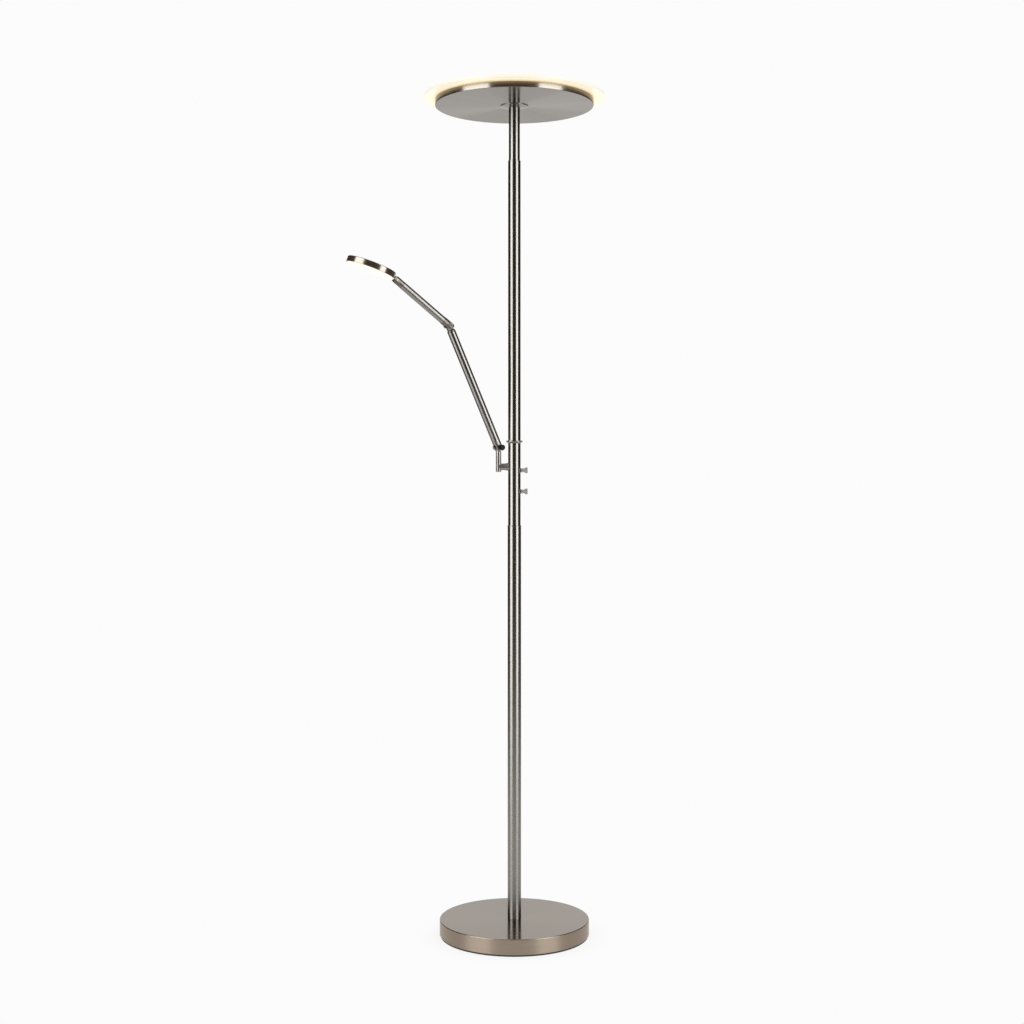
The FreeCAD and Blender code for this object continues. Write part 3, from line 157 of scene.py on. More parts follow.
rubber = grained("black_rubber", (0.022, 0.021, 0.02), 0.72, fineness=900.0,
                 tones=((0.015, 0.015, 0.014), (0.034, 0.033, 0.031)),
                 wear=(0.62, 0.82), relief=(0.00012,))
dress(rubber, "base_pad", "inlet_bush")

# ------------------------------------------------------------ cast weight
# Iron disc with a middle boss, sand cast and painted black. It is what keeps the tall lamp
# upright; a pocket below holds the nut, and a channel leads the wire to the middle.
iron = grained("black_painted_casting", (0.03, 0.03, 0.03), 0.6, fineness=260.0, detail=6.0,
               tones=((0.018, 0.018, 0.018), (0.05, 0.049, 0.047)),
               wear=(0.5, 0.75), relief=(0.0005, 0.8))
dress(iron, "base_weight")

# ------------------------------------------------------------ screws, nuts and hidden joints
# Steel, zinc plated. The hollow stud, washer and nut clamp weight, cover and pole; the rest
# are the pole's foot plug and sleeve, the hub's screws, the shafts and the bracket's hardware.
zinc = grained("zinc_plated_steel", (0.42, 0.43, 0.44), 0.34, fineness=420.0, detail=4.0,
               tones=((0.34, 0.35, 0.37), (0.52, 0.53, 0.53)),
               wear=(0.26, 0.44), relief=(0.00004,), metallic=1.0)
dress(zinc, "base_stud", "base_washer", "base_nut", "pole_foot", "collar_sleeve", "hub_screws",
      "stub_washer", "stub_nut", "swivel_screw", "fork_clip", "reading_dimmer_shaft",
      "main_dimmer_shaft")

# ------------------------------------------------------------ power supply and wire
# White moulded case, closed and textured, which lies on the weight under the cover. Its wire
# has a black soft jacket and runs under the weight and up the pole to the light board.
casing = grained("textured_white_case", (0.8, 0.8, 0.77), 0.5, fineness=1400.0,
                 tones=((0.74, 0.74, 0.71), (0.84, 0.84, 0.81)),
                 wear=(0.42, 0.6), relief=(0.00008,))
dress(casing, "power_supply")

jacket = grained("soft_black_jacket", (0.03, 0.03, 0.03), 0.45, fineness=500.0,
                 tones=((0.022, 0.022, 0.022), (0.038, 0.038, 0.037)), wear=(0.38, 0.55))
dress(jacket, "pole_wire")

# ------------------------------------------------------------ base cover
# Steel sheet, spun to a shallow drum with a tight rounded corner, then brushed round and
# nickel plated. It drops over the weight and hides it; only a hole for the cord is cut in it.
nickel_tint = (0.92, 0.885, 0.855, 1)
strokes_per_metre = 1500.0


def turned_metal(name, light, dark, roughness, spread, drag, axis="Z", painted_fans=0.0):
    """Nickel plate over brushing that runs round the piece's axis.

    Spread smears reflections across the strokes, drag lets the strokes vary on their way
    round, and painted_fans paints broad lighter and darker sectors onto a flat face, a painted sheen.
    """
    round_axis = {"X": (0, 1, 1), "Z": (1, 1, 0)}[axis]
    metal = new_finish(name, light, roughness, 1.0)
    set_on_shader(metal, {"Specular Tint": nickel_tint, "Anisotropic": spread,
                          "Anisotropic Rotation": 0.25})
    around = add_node(metal, "Tangent", direction_type="RADIAL", axis=axis)
    onto_shader(metal, "Tangent", around.outputs["Tangent"])

    # Direction from the axis, and distance from it.
    place = add_node(metal, "TexCoord").outputs["Object"]
    flat = add_node(metal, "VectorMath", {0: place, 1: round_axis}, operation="MULTIPLY")
    radius = add_node(metal, "VectorMath", {0: flat.outputs["Vector"]}, operation="LENGTH")
    heading = add_node(metal, "VectorMath", {0: flat.outputs["Vector"]}, operation="NORMALIZE")

    # Strokes: slow to change round the piece, fast along its wall and across its flat faces.
    slow = add_node(metal, "VectorMath", {0: heading.outputs["Vector"], "Scale": drag},
                    operation="SCALE")
    along = add_node(metal, "SeparateXYZ", {"Vector": place})
    across = add_node(metal, "Math", {0: along.outputs[axis], 1: radius.outputs["Value"]},
                      operation="ADD")
    fast = add_node(metal, "CombineXYZ", {axis: across.outputs["Value"]})
    fine = add_node(metal, "VectorMath", {0: fast.outputs["Vector"], "Scale": strokes_per_metre},
                    operation="SCALE")
    stroke = add_node(metal, "VectorMath", {0: slow.outputs["Vector"], 1: fine.outputs["Vector"]})
    lines = add_node(metal, "TexNoise", {"Vector": stroke.outputs["Vector"], "Scale": 1.0,
                                         "Detail": 4.0, "Roughness": 0.65})

    # Painted sheen: broad sectors, lighter and darker by painted_fans, standing in for radial highlights.
    sectors = add_node(metal, "TexNoise", {"Vector": heading.outputs["Vector"], "Scale": 1.6,
                                           "Detail": 1.0})
    painted_fan = drifting(metal, sectors.outputs["Fac"], -painted_fans, painted_fans)
    grade = add_node(metal, "Math", {0: lines.outputs["Fac"], 1: painted_fan}, operation="ADD")
    tone(metal, grade.outputs["Value"], dark, light, grain_low, grain_high)
    worn(metal, lines.outputs["Fac"], roughness - 0.01, roughness + 0.02)
    raised(metal, lines.outputs["Fac"], 0.000001, 0.2)
    return metal


def rounded_outline(corners):
    """Points of a closed outline. Each corner is (radius, height, rounding) in millimetres."""
    arc_steps = 6
    edge_share = 0.49
    points = []
    for index, (r, z, rounding) in enumerate(corners):
        here = Vector((r, z))
        if rounding == 0:
            points.append(here)
            continue
        before = Vector(corners[index - 1][:2]) - here
        after = Vector(corners[(index + 1) % len(corners)][:2]) - here
        half = before.angle(after) / 2
        reach = min(rounding / math.tan(half), edge_share * before.length, edge_share * after.length)
        first = here + before.normalized() * reach
        last = here + after.normalized() * reach
        inward = (before.normalized() + after.normalized()).normalized()
        middle = here + inward * (reach / math.cos(half))
        first_arm = first - middle
        sweep = first_arm.angle_signed(last - middle)
        for step in range(arc_steps + 1):
            turn = Matrix.Rotation(-sweep * step / arc_steps, 2)
            points.append(middle + turn @ first_arm)
    return points


def flute_floor(angle, height, radius, count, depth, bottom, top):
    """Radius that round-bottomed flutes leave of a turned piece at this angle and height."""
    fullness = 0.6
    if not bottom <= height <= top:
        return radius
    return radius - depth * max(0.0, math.cos(angle * count)) ** fullness


def spun(name, corners, place=None, flutes=None, steps=192):
    """A turned piece from its outline. Flutes are (count, depth, bottom, top)."""
    mesh = bmesh.new()
    rings = []
    widest = max(corner[0] for corner in corners)
    for r, z in rounded_outline(corners):
        if r < 1e-6:
            rings.append([mesh.verts.new((0, 0, z / 1000))])
            continue
        ring = []
        for step in range(steps):
            angle = 2 * math.pi * step / steps
            reach = min(r, flute_floor(angle, z, widest, *flutes)) if flutes else r
            ring.append(mesh.verts.new((reach * math.cos(angle) / 1000,
                                        reach * math.sin(angle) / 1000, z / 1000)))
        rings.append(ring)
    for ring, following in zip(rings, rings[1:] + rings[:1]):
        if len(ring) == 1 and len(following) == 1:
            continue
        for step in range(steps):
            after = (step + 1) % steps
            corners_here = [ring[step % len(ring)], ring[after % len(ring)],
                            following[after % len(following)], following[step % len(following)]]
            mesh.faces.new(list(dict.fromkeys(corners_here)))
    return solid_piece(name, mesh, place)


def solid_piece(name, mesh, place=None):
    """A finished object from a worked mesh, smooth, with its flat faces kept flat."""
    bmesh.ops.recalc_face_normals(mesh, faces=mesh.faces)
    for face in mesh.faces:
        face.smooth = True
    data = bpy.data.meshes.new(name)
    mesh.to_mesh(data)
    mesh.free()
    piece = bpy.data.objects.new(name, data)
    bpy.context.scene.collection.objects.link(piece)
    if place:
        piece.matrix_world = place
    flat_faces = piece.modifiers.new("flat faces", "WEIGHTED_NORMAL")
    flat_faces.weight = 80
    return piece


def fitted(piece, finish, body, slot, *nodes):
    """Give a piece its finish, and set it on the body that it moves with."""
    piece.data.materials.append(finish)
    bpy.context.view_layer.update()
    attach(piece, body)
    if nodes:
        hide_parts(*nodes)
    return piece


def dress_wall(piece, finish, wall_radius):
    """Give a drum's upright wall, from this radius outwards, a finish of its own, which here carries
    painted light: a painted reflection tint on the cover, a painted glow on the pan's rim.
    """
    steepest = 0.7
    piece.data.materials.append(finish)
    for face in piece.data.polygons:
        if abs(face.normal.z) < steepest and math.hypot(*face.center.xy) * 1000 > wall_radius:
            face.material_index = 1


def upright(node):
    """Radius, underside and top of an upright turned piece, in millimetres."""
    low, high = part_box(node)
    return (high[0] - low[0]) * 500, low[2] * 1000, high[2] * 1000


cover_radius, cover_bottom, cover_top = upright("base_cover")
cover_wall = 1.2
cover_inside = cover_radius - cover_wall
cover_ceiling = cover_top - cover_wall
hem_lift = 2.8
cover_hem = cover_bottom + hem_lift
stud_hole = 5.2
drum_steps = 256
base_cover = spun("base_cover_spun", [
    (stud_hole, cover_ceiling, 0), (cover_inside, cover_ceiling, 0.8), (cover_inside, cover_hem, 0.3),
    (cover_radius, cover_hem, 0.5), (cover_radius, cover_top, 1.8), (stud_hole, cover_top, 0)],
    steps=drum_steps)

bush_low, bush_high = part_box("inlet_bush")
bush_height = (bush_low[2] + bush_high[2]) / 2
bush_waist = 5.5
punch_length = 30.0
cord_hole = bmesh.new()
bmesh.ops.create_cone(cord_hole, cap_ends=True, segments=48, radius1=bush_waist / 1000,
                      radius2=bush_waist / 1000, depth=punch_length / 1000,
                      matrix=Matrix.Translation((0, cover_radius / 1000, bush_height))
                      @ Matrix.Rotation(math.radians(90), 4, "X"))
punch = solid_piece("cord_hole_punch", cord_hole)
cut = base_cover.modifiers.new("cord hole", "BOOLEAN")
cut.object = punch
cut.operation = "DIFFERENCE"
base_cover.modifiers.move(1, 0)
punched_cover = base_cover.evaluated_get(bpy.context.evaluated_depsgraph_get())
with_hole = bpy.data.meshes.new_from_object(punched_cover)
base_cover.modifiers.remove(cut)
base_cover.data = with_hole
bpy.data.objects.remove(punch)

spun_nickel = turned_metal("spun_nickel", (0.268, 0.246, 0.22), (0.246, 0.225, 0.2),
                           roughness=0.18, spread=0.7, drag=2.0)
fitted(base_cover, spun_nickel, "stand", "brushed_nickel", "base_cover")
# Painted reflection: the cover's wall is the same plated sheet as its top, but coloured warmer and lighter
# for the reflections it shows.
wall_painted_warm_nickel = turned_metal("wall_painted_warm_nickel", (0.33, 0.268, 0.21), (0.29, 0.232, 0.18),
                           roughness=0.34, spread=0.8, drag=2.0)
cover_bend = 0.8
dress_wall(base_cover, wall_painted_warm_nickel, cover_radius - cover_bend)

# ------------------------------------------------------------ pole tubes
# Four lengths of steel tube, the upper ones slimmer than the lower, belt-ground round the
# axis and nickel plated. They slide over turned spigots, so only the thin lips show between.
tube_wall = 1.2
tube_end_round = 0.25


def drawn_tube(name, radius, bottom, top, bore_round, place=None, steps=192):
    """A length of tube with the edges of its ends rounded off."""
    bore = radius - tube_wall
    return spun(name, [
        (bore, bottom, bore_round), (radius, bottom, tube_end_round),
        (radius, top, tube_end_round), (bore, top, bore_round)], place, steps=steps)


tube_nickel = turned_metal("tube_nickel", (0.262, 0.252, 0.234), (0.252, 0.242, 0.224),
                           roughness=0.26, spread=0.85, drag=1.2)
for tube in ("lower_tube", "dimmer_tube", "upper_tube", "top_tube"):
    tube_piece = drawn_tube(tube + "_drawn", *upright(tube), bore_round=0.2)
    fitted(tube_piece, tube_nickel, "stand", "brushed_nickel", tube)

# ------------------------------------------------------------ couplers and ring
# Turned steel. Each coupler has a spigot into the tube below and the tube above and a lip
# that shows as a fine line; the ring over the reading arm is wider, with a cone under it.
machined_light = (0.268, 0.254, 0.234)
machined_dark = (0.248, 0.235, 0.215)
turned_nickel = turned_metal("turned_nickel", machined_light, machined_dark,
                             roughness=0.24, spread=0.6, drag=1.0)
wire_bore = 8.0
grip = 30.0
lip_height = 2.0
for lip_piece, below, above in (("lower_coupler", "lower_tube", "dimmer_tube"),
                                ("upper_coupler", "upper_tube", "top_tube")):
    lip, bottom, top = upright(lip_piece)
    below_bore = upright(below)[0] - tube_wall
    above_bore = upright(above)[0] - tube_wall
    lip_top = top - grip
    lip_bottom = lip_top - lip_height
    coupler = spun(lip_piece + "_turned", [
        (wire_bore, bottom, 0.3), (below_bore, bottom, 0.5), (below_bore, lip_bottom, 0),
        (lip, lip_bottom, 0.4), (lip, lip_top, 0.4), (above_bore, lip_top, 0),
        (above_bore, top, 0.5), (wire_bore, top, 0.3)])
    fitted(coupler, turned_nickel, "stand", "satin_nickel", lip_piece)

ring_radius, ring_bottom, ring_top = upright("pole_collar")
ring_bore = upright("upper_tube")[0] - tube_wall
ring_band = 1.8
arm_ring = spun("arm_ring_turned", [
    (ring_bore, ring_bottom, 0), (ring_bore + tube_wall, ring_bottom, 0.1),
    (ring_radius, ring_top - ring_band, 0.5), (ring_radius, ring_top, 0.6), (ring_bore, ring_top, 0)])
fitted(arm_ring, tube_nickel, "stand", "satin_nickel", "pole_collar")

# ------------------------------------------------------------ hub and pan
# The hub is a turned flange on the top tube. The pan is spun from steel sheet, brushed round
# and nickel plated, and three screws from inside pull its flat floor down onto the hub.
hub_radius, hub_bottom, hub_top = upright("pan_hub")
hub_spigot = upright("top_tube")[0] - tube_wall
hub_thickness = 4.0
hub_seat = hub_top - hub_thickness
hub_edge = 1.2
cone_gap = 0.5
hub = spun("pan_hub_turned", [
    (wire_bore, hub_bottom, 0.3), (hub_spigot, hub_bottom, 0.5), (hub_spigot, hub_seat, 0),
    (hub_spigot + tube_wall + cone_gap, hub_seat, 0.3), (hub_radius, hub_top - hub_edge, 0.4),
    (hub_radius, hub_top, 0.3), (wire_bore, hub_top, 0)])
fitted(hub, turned_nickel, "stand", "satin_nickel", "pan_hub")

pan_radius, pan_bottom, pan_top = upright("torch_pan")
pan_sheet = 1.5
pan_inside = pan_radius - pan_sheet
pan_floor = pan_bottom + pan_sheet
pan = spun("pan_spun", [
    (wire_bore, pan_bottom, 0), (pan_radius, pan_bottom, 1.4), (pan_radius, pan_top, 0.6),
    (pan_inside, pan_top, 0.5), (pan_inside, pan_floor, 1.0), (wire_bore, pan_floor, 0)],
    steps=drum_steps)
# Painted sheen: painted_fans lays broad lighter and darker sectors into the pan's colour, standing in for
# radial highlights on its spun floor.
pan_nickel = turned_metal("pan_nickel", (0.275, 0.256, 0.236), (0.215, 0.2, 0.182),
                          roughness=0.21, spread=0.7, drag=2.0, painted_fans=0.3)
set_on_shader(pan_nickel, {"Specular Tint": (0.86, 0.845, 0.83, 1)})
fitted(pan, pan_nickel, "stand", "brushed_nickel", "torch_pan")
# Painted light: the rim's nickel glows faintly orange, a painted glow standing in for the plate's light
# spilling onto the rim.
rim_painted_glow_nickel = turned_metal("rim_painted_glow_nickel", (0.27, 0.25, 0.22), (0.25, 0.23, 0.2),
                          roughness=0.21, spread=0.7, drag=2.0)
set_on_shader(rim_painted_glow_nickel, {"Emission Color": (1.0, 0.44, 0.08, 1), "Emission Strength": 0.024})
pan_bend = 0.6
dress_wall(pan, rim_painted_glow_nickel, pan_radius - pan_bend)

# ------------------------------------------------------------ light engine
# A mill-finish aluminium disc spreads the heat, and a white ring-shaped board on it holds the
# light sources. Aluminium posts with bonded pucks carry the plate clear of them.
aluminium = new_finish("mill_aluminium", (0.6, 0.6, 0.61), 0.38, 1.0)
mill_place = add_node(aluminium, "TexCoord")
mill_drag = add_node(aluminium, "VectorMath", {0: mill_place.outputs["Object"], 1: (30, 900, 900)},
                     operation="MULTIPLY")
mill_lines = add_node(aluminium, "TexNoise", {"Vector": mill_drag.outputs["Vector"], "Scale": 1.0,
                                              "Detail": 3.0})
tone(aluminium, mill_lines.outputs["Fac"], (0.52, 0.52, 0.53), (0.66, 0.66, 0.67))
worn(aluminium, mill_lines.outputs["Fac"], 0.3, 0.46)
dress(aluminium, "heat_spreader", "plate_posts", "plate_pucks", "head_standoffs")

solder_mask = grained("white_solder_mask", (0.82, 0.82, 0.8), 0.35, fineness=300.0,
                      tones=((0.78, 0.78, 0.76), (0.86, 0.86, 0.84)),
                      wear=(0.28, 0.42), relief=(0.00005,))
dress(solder_mask, "led_board", "head_board")

phosphor = grained("lit_phosphor", (0.95, 0.78, 0.25), 0.4, fineness=2500.0,
                   tones=((0.9, 0.7, 0.2), (1.0, 0.84, 0.32)))
set_on_shader(phosphor, {"Emission Color": (1.0, 0.83, 0.5, 1), "Emission Strength": 1.5})
dress(phosphor, "led_chips", "head_chips")

# ------------------------------------------------------------ glow plate
# Opal acrylic, cut to a disc with polished soft edges and bonded to the pucks. Light from the ring below
# fills it;
# its real glow is graded palest at its free edge, with painted shade in orange and gold near the metal rim.


def lit_acrylic(name, stops, strength, reach):
    """Opal acrylic that glows. Stops are (share of reach from the axis, colour)."""
    acrylic = new_finish(name, (0.5, 0.47, 0.41), 0.4)
    set_on_shader(acrylic, {"Emission Strength": strength, "Specular IOR Level": 0.25})
    place = add_node(acrylic, "TexCoord")
    flat = add_node(acrylic, "VectorMath", {0: place.outputs["Object"], 1: (1, 1, 0)},
                    operation="MULTIPLY")
    radius = add_node(acrylic, "VectorMath", {0: flat.outputs["Vector"]}, operation="LENGTH")
    share = add_node(acrylic, "MapRange", {"Value": radius.outputs["Value"], "From Max": reach})
    onto_shader(acrylic, "Emission Color", graded(acrylic, share.outputs["Result"], *stops))
    frost = speckle(acrylic, 3000.0)
    worn(acrylic, frost, 0.28, 0.42)
    raised(acrylic, frost, 0.00002)
    return acrylic


plate_radius, plate_bottom, plate_top = upright("glow_plate")
plate_edge = 1.6
# Painted shade: the orange and gold stops near the rim stand for the pan shading the plate's real glow.
plate_light = lit_acrylic("lit_opal_plate", [
    (0.0, (0.75, 0.7, 0.57)), (0.8, (0.75, 0.68, 0.51)), (0.87, (0.94, 0.66, 0.32)),
    (0.895, (1.0, 0.82, 0.53)), (0.93, (0.88, 0.77, 0.56)), (0.98, (0.76, 0.7, 0.56)),
    (1.0, (0.75, 0.71, 0.6))], 0.7, plate_radius / 1000)
plate = spun("glow_plate_polished", [
    (0, plate_bottom, 0), (plate_radius, plate_bottom, plate_edge),
    (plate_radius, plate_top, plate_edge), (0, plate_top, 0)], steps=drum_steps)
fitted(plate, plate_light, "stand", "opal_acrylic", "glow_plate")

# ------------------------------------------------------------ dimmers
# Each is a potentiometer inside the tube, held by a ring nut shaped to the tube. The knob is
# turned from brass rod and satin nickel plated: a slim neck, a flare, and a fluted cap.
black_moulding = grained("black_moulding", (0.007, 0.007, 0.007), 0.42, fineness=1200.0,
                         tones=((0.004, 0.004, 0.004), (0.01, 0.01, 0.0095)),
                         wear=(0.32, 0.5), relief=(0.00004,))
set_on_shader(black_moulding, {"Specular IOR Level": 0.12})
dress(black_moulding, "dimmer_bodies")

satin_nickel = grained("satin_nickel", (0.265, 0.251, 0.23), 0.26, fineness=1600.0, detail=2.0,
                       tones=((0.25, 0.237, 0.217), (0.278, 0.264, 0.243)),
                       wear=(0.22, 0.3), relief=(0.000002, 0.2), metallic=1.0)
set_on_shader(satin_nickel, {"Specular Tint": nickel_tint})


def softened(node, width):
    """A machined piece with its sharp edges broken by a small round."""
    seam = 2e-6
    facet_turn = math.radians(1.0)
    sharp_turn = math.radians(28)
    mesh = bmesh.new()
    mesh.from_mesh(frame["nodes"][node].data)
    bmesh.ops.remove_doubles(mesh, verts=mesh.verts, dist=seam)
    bmesh.ops.dissolve_limit(mesh, angle_limit=facet_turn, verts=mesh.verts, edges=mesh.edges)
    sharp = [edge for edge in mesh.edges
             if len(edge.link_faces) == 2 and edge.calc_face_angle() > sharp_turn]
    bmesh.ops.bevel(mesh, geom=sharp, offset=width / 1000, segments=3, profile=0.5, affect="EDGES",
                    clamp_overlap=True)
    return solid_piece(node + "_machined", mesh)


fitted(softened("dimmer_saddles", 0.2), satin_nickel, "stand", "satin_nickel", "dimmer_saddles")

pale_nickel = turned_metal("pale_nickel", (0.46, 0.445, 0.42), (0.4, 0.387, 0.365),
                           roughness=0.36, spread=0.5, drag=1.0)
set_on_shader(pale_nickel, {"Metallic": 0.6})
neck_radius = 4.3
neck_length = 7.0
knob_radius = 6.3
knob_length = 6.5
knob_end = neck_length + knob_length
flare_length = 1.5
flare_end = neck_length + flare_length
face_ring = 4.6
face_bevel = 4.2
face_depth = 0.35
knob_face = knob_end - face_depth
flute_count = 12
flute_depth = 0.65
flute_lead = 0.3
flute_start = flare_end - flute_lead
for knob, body in (("reading_dimmer_knob", "reading_dimmer"), ("main_dimmer_knob", "main_dimmer")):
    low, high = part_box(knob)
    along_x = Matrix.Translation((low[0], 0, (low[2] + high[2]) / 2)) @ Matrix.Rotation(
        math.radians(90), 4, "Y")
    knob_piece = spun(knob + "_turned", [
        (0, 0, 0), (neck_radius, 0, 0.3), (neck_radius, neck_length, 0.8),
        (knob_radius, flare_end, 0.4), (knob_radius, knob_end, 0.7),
        (face_ring, knob_end, 0.2), (face_bevel, knob_face, 0.2), (0, knob_face, 0)],
        place=along_x, flutes=(flute_count, flute_depth, flute_start, knob_end), steps=144)
    fitted(knob_piece, pale_nickel, body, "satin_nickel", knob)

# ------------------------------------------------------------ bracket
# A turned stub, hollowed at its wide foot to sit on the tube and coped to the post, is bolted
# through the tube's wall. The arm's stem turns in the post, and a grub screw holds it down.


def centred(piece):
    """Move a piece's origin to the middle of its box, so that its brushing runs round it."""
    corners = [Vector(corner) for corner in piece.bound_box]
    middle = sum(corners, Vector()) / 8
    piece.data.transform(Matrix.Translation(-middle))
    piece.matrix_world = Matrix.Translation(middle)
    return piece


cross_nickel = turned_metal("cross_nickel", machined_light, machined_dark,
                            roughness=0.25, spread=0.85, drag=1.0, axis="X")
stub = centred(softened("bracket_stub", 0.3))
fitted(stub, cross_nickel, "stand", "satin_nickel", "bracket_stub")
bar_nickel = turned_metal("bar_nickel", machined_light, machined_dark,
                          roughness=0.4, spread=0.6, drag=1.0)
post = centred(softened("bracket_post", 0.3))
fitted(post, bar_nickel, "stand", "satin_nickel", "bracket_post")

# ------------------------------------------------------------ arm stem and lower hinge
# Machined from nickel plated steel bar: the stem's tongue stands between the cheeks of the
# clevis, and a pin runs through both, with a domed cap nut on one end.
joint = {each["name"]: each for each in frame["joints"]}


def link_place(origin, end, hinge_axis):
    """Place of a link: Z along it, and Y along its hinge."""
    z = (end - origin).normalized()
    y = hinge_axis.normalized()
    x = y.cross(z).normalized()
    turn = Matrix((x, z.cross(x), z)).transposed()
    return Matrix.Translation(origin) @ turn.to_4x4()


def on_hinge(link, side, seat):
    """Place on a link's hinge, this far to one side of it, with Z pointing outwards."""
    return (link @ Matrix.Translation((0, side * seat / 1000, 0))
            @ Matrix.Rotation(math.radians(-90 * side), 4, "X"))


hinge_point = Vector(joint["lower_arm_tilt"]["pos_m"])
elbow_point = Vector(joint["elbow_bend"]["pos_m"])
head_point = Vector(joint["head_tilt"]["pos_m"])
hinge_axis = -Vector(joint["lower_arm_tilt"]["axis"])
lower_place = link_place(hinge_point, elbow_point, hinge_axis)
upper_place = link_place(elbow_point, head_point, hinge_axis)

fitted(softened("arm_stem", 0.3), satin_nickel, "swivel", "satin_nickel", "arm_stem")
fitted(softened("lower_clevis", 0.35), satin_nickel, "lower_arm", "satin_nickel", "lower_clevis")
dress(satin_nickel, "hinge_pin", "head_pin")

lower_arm_radius = 9.0
seat_depth = 0.9
hinge_seat = lower_arm_radius - seat_depth
cap_radius = 6.0
cap_length = 8.5
cap_dome = 3.2
cap_nut = spun("hinge_cap_domed", [
    (0, 0, 0), (cap_radius, 0, 0.3), (cap_radius, cap_length, cap_dome), (0, cap_length, 0)],
    place=on_hinge(lower_place, -1, hinge_seat), steps=96)
fitted(cap_nut, pale_nickel, "lower_arm", "satin_nickel", "hinge_cap")

# ------------------------------------------------------------ friction knob
# Black moulded knob on the other end of the hinge pin. Turning it squeezes the clevis and
# sets how stiffly the arm moves; ten finger grooves give it grip.
side_gap = 0.3
pin_hole = 3.05
pin_hole_depth = 6.3
collar_radius = 4.6
collar_length = 1.5
grip_radius = 5.8
grip_length = 10.0
dish_radius = 4.0
dish_floor = 3.6
dish_depth = 0.3
grip_face = grip_length - dish_depth
groove_count = 10
groove_depth = 0.75
groove_start = 1.6
groove_end = 9.95
friction_knob = spun("friction_knob_moulded", [
    (pin_hole, 0, 0.2), (collar_radius, 0, 0.3), (collar_radius, collar_length, 0.1),
    (grip_radius, collar_length, 0.3), (grip_radius, grip_length, 1.1), (dish_radius, grip_length, 0.3),
    (dish_floor, grip_face, 0.2), (0, grip_face, 0), (0, pin_hole_depth, 0), (pin_hole, pin_hole_depth, 0)],
    place=on_hinge(lower_place, 1, hinge_seat + side_gap),
    flutes=(groove_count, groove_depth, groove_start, groove_end), steps=120)
fitted(friction_knob, black_moulding, "hinge_knob", "black_plastic", "friction_knob")

# ------------------------------------------------------------ lower arm and elbow
# A plated tube is pressed over the clevis at its foot and over the elbow fitting at its top,
# a turned shoulder with a flat tongue. A shoulder screw and a round nut close the elbow.
clevis_length = 20.0
elbow_radius = 8.6
shoulder = 5.0
arm_steps = 128
lower_length = (elbow_point - hinge_point).length * 1000
lower_tube_end = lower_length - elbow_radius - 2 * side_gap - shoulder
lower_arm = drawn_tube("lower_arm_drawn", lower_arm_radius, clevis_length, lower_tube_end,
                       bore_round=0.1, place=lower_place, steps=arm_steps)
fitted(lower_arm, tube_nickel, "lower_arm", "brushed_nickel", "lower_arm_tube")

# Painted shade: the same nickel as the other parts, made darker so that the elbow, fork and lug show dark
# reflections.
painted_dark_nickel = grained("painted_dark_nickel", (0.15, 0.14, 0.115), 0.3, fineness=1600.0, detail=2.0,
                       tones=((0.135, 0.126, 0.102), (0.165, 0.154, 0.127)),
                       wear=(0.26, 0.36), metallic=1.0)
fitted(softened("elbow_tongue", 0.3), painted_dark_nickel, "lower_arm", "satin_nickel", "elbow_tongue")
fitted(softened("elbow_clevis", 0.35), painted_dark_nickel, "upper_arm", "satin_nickel", "elbow_clevis")

black_oxide = grained("black_oxide_steel", (0.1, 0.095, 0.09), 0.32, fineness=900.0, detail=4.0,
                      tones=((0.07, 0.066, 0.062), (0.12, 0.114, 0.108)),
                      wear=(0.26, 0.4), metallic=1.0)
fitted(softened("elbow_screw", 0.15), black_oxide, "upper_arm", "black_steel", "elbow_screw")

nut_radius = 5.4
nut_length = 7.5
elbow_nut = spun("elbow_nut_turned", [
    (0, 0, 0), (nut_radius, 0, 0.2), (nut_radius, nut_length, 0.9), (0, nut_length, 0)],
    place=on_hinge(upper_place, -1, elbow_radius - seat_depth), steps=96)
fitted(elbow_nut, pale_nickel, "upper_arm", "satin_nickel", "elbow_nut")

# ------------------------------------------------------------ upper arm and head fork
# The slimmer upper tube ends in a nylon bush. The fork's spigot turns in it, held by a ring
# behind the bush, and a pin through the fork carries the head's lug.
upper_arm_radius = 8.1
elbow_clevis_length = 18.0
fork_length = 16.0
upper_length = (head_point - elbow_point).length * 1000
upper_tube_end = upper_length - fork_length - side_gap
upper_arm = drawn_tube("upper_arm_drawn", upper_arm_radius, elbow_clevis_length, upper_tube_end,
                       bore_round=0.1, place=upper_place, steps=arm_steps)
fitted(upper_arm, tube_nickel, "upper_arm", "brushed_nickel", "upper_arm_tube")

nylon = grained("natural_nylon", (0.82, 0.8, 0.74), 0.45, fineness=700.0,
                tones=((0.77, 0.75, 0.69), (0.85, 0.83, 0.77)), wear=(0.38, 0.52))
dress(nylon, "fork_bush")

# The fork wears the darker copy of the nickel, painted shade.
fitted(softened("head_fork", 0.3), painted_dark_nickel, "fork", "satin_nickel", "head_fork")

# ------------------------------------------------------------ reading head
# A shallow drum spun from sheet and brushed round, with a lug for the pivot. Inside, a white
# board on three bosses carries the light sources, under an opal disc that sits on a ledge.
head_radius = 52.2
head_half = 6.2
head_wall = 1.4
head_drop = math.radians(16.8)
head_offset = 3.0
rim_gap = 1.6
fork_nose = 7.4
diffuser_thickness = 3.0
diffuser_proud = 0.6
diffuser_gap = 0.2
ledge_width = 1.0

twist_axis = Vector(joint["head_twist"]["axis"])
tilt_axis = -Vector(joint["head_tilt"]["axis"])
fork_place = link_place(head_point, head_point + twist_axis, tilt_axis)
head_place = fork_place @ Matrix.Rotation(head_drop, 4, "Y")
head_middle = head_radius + rim_gap + fork_nose

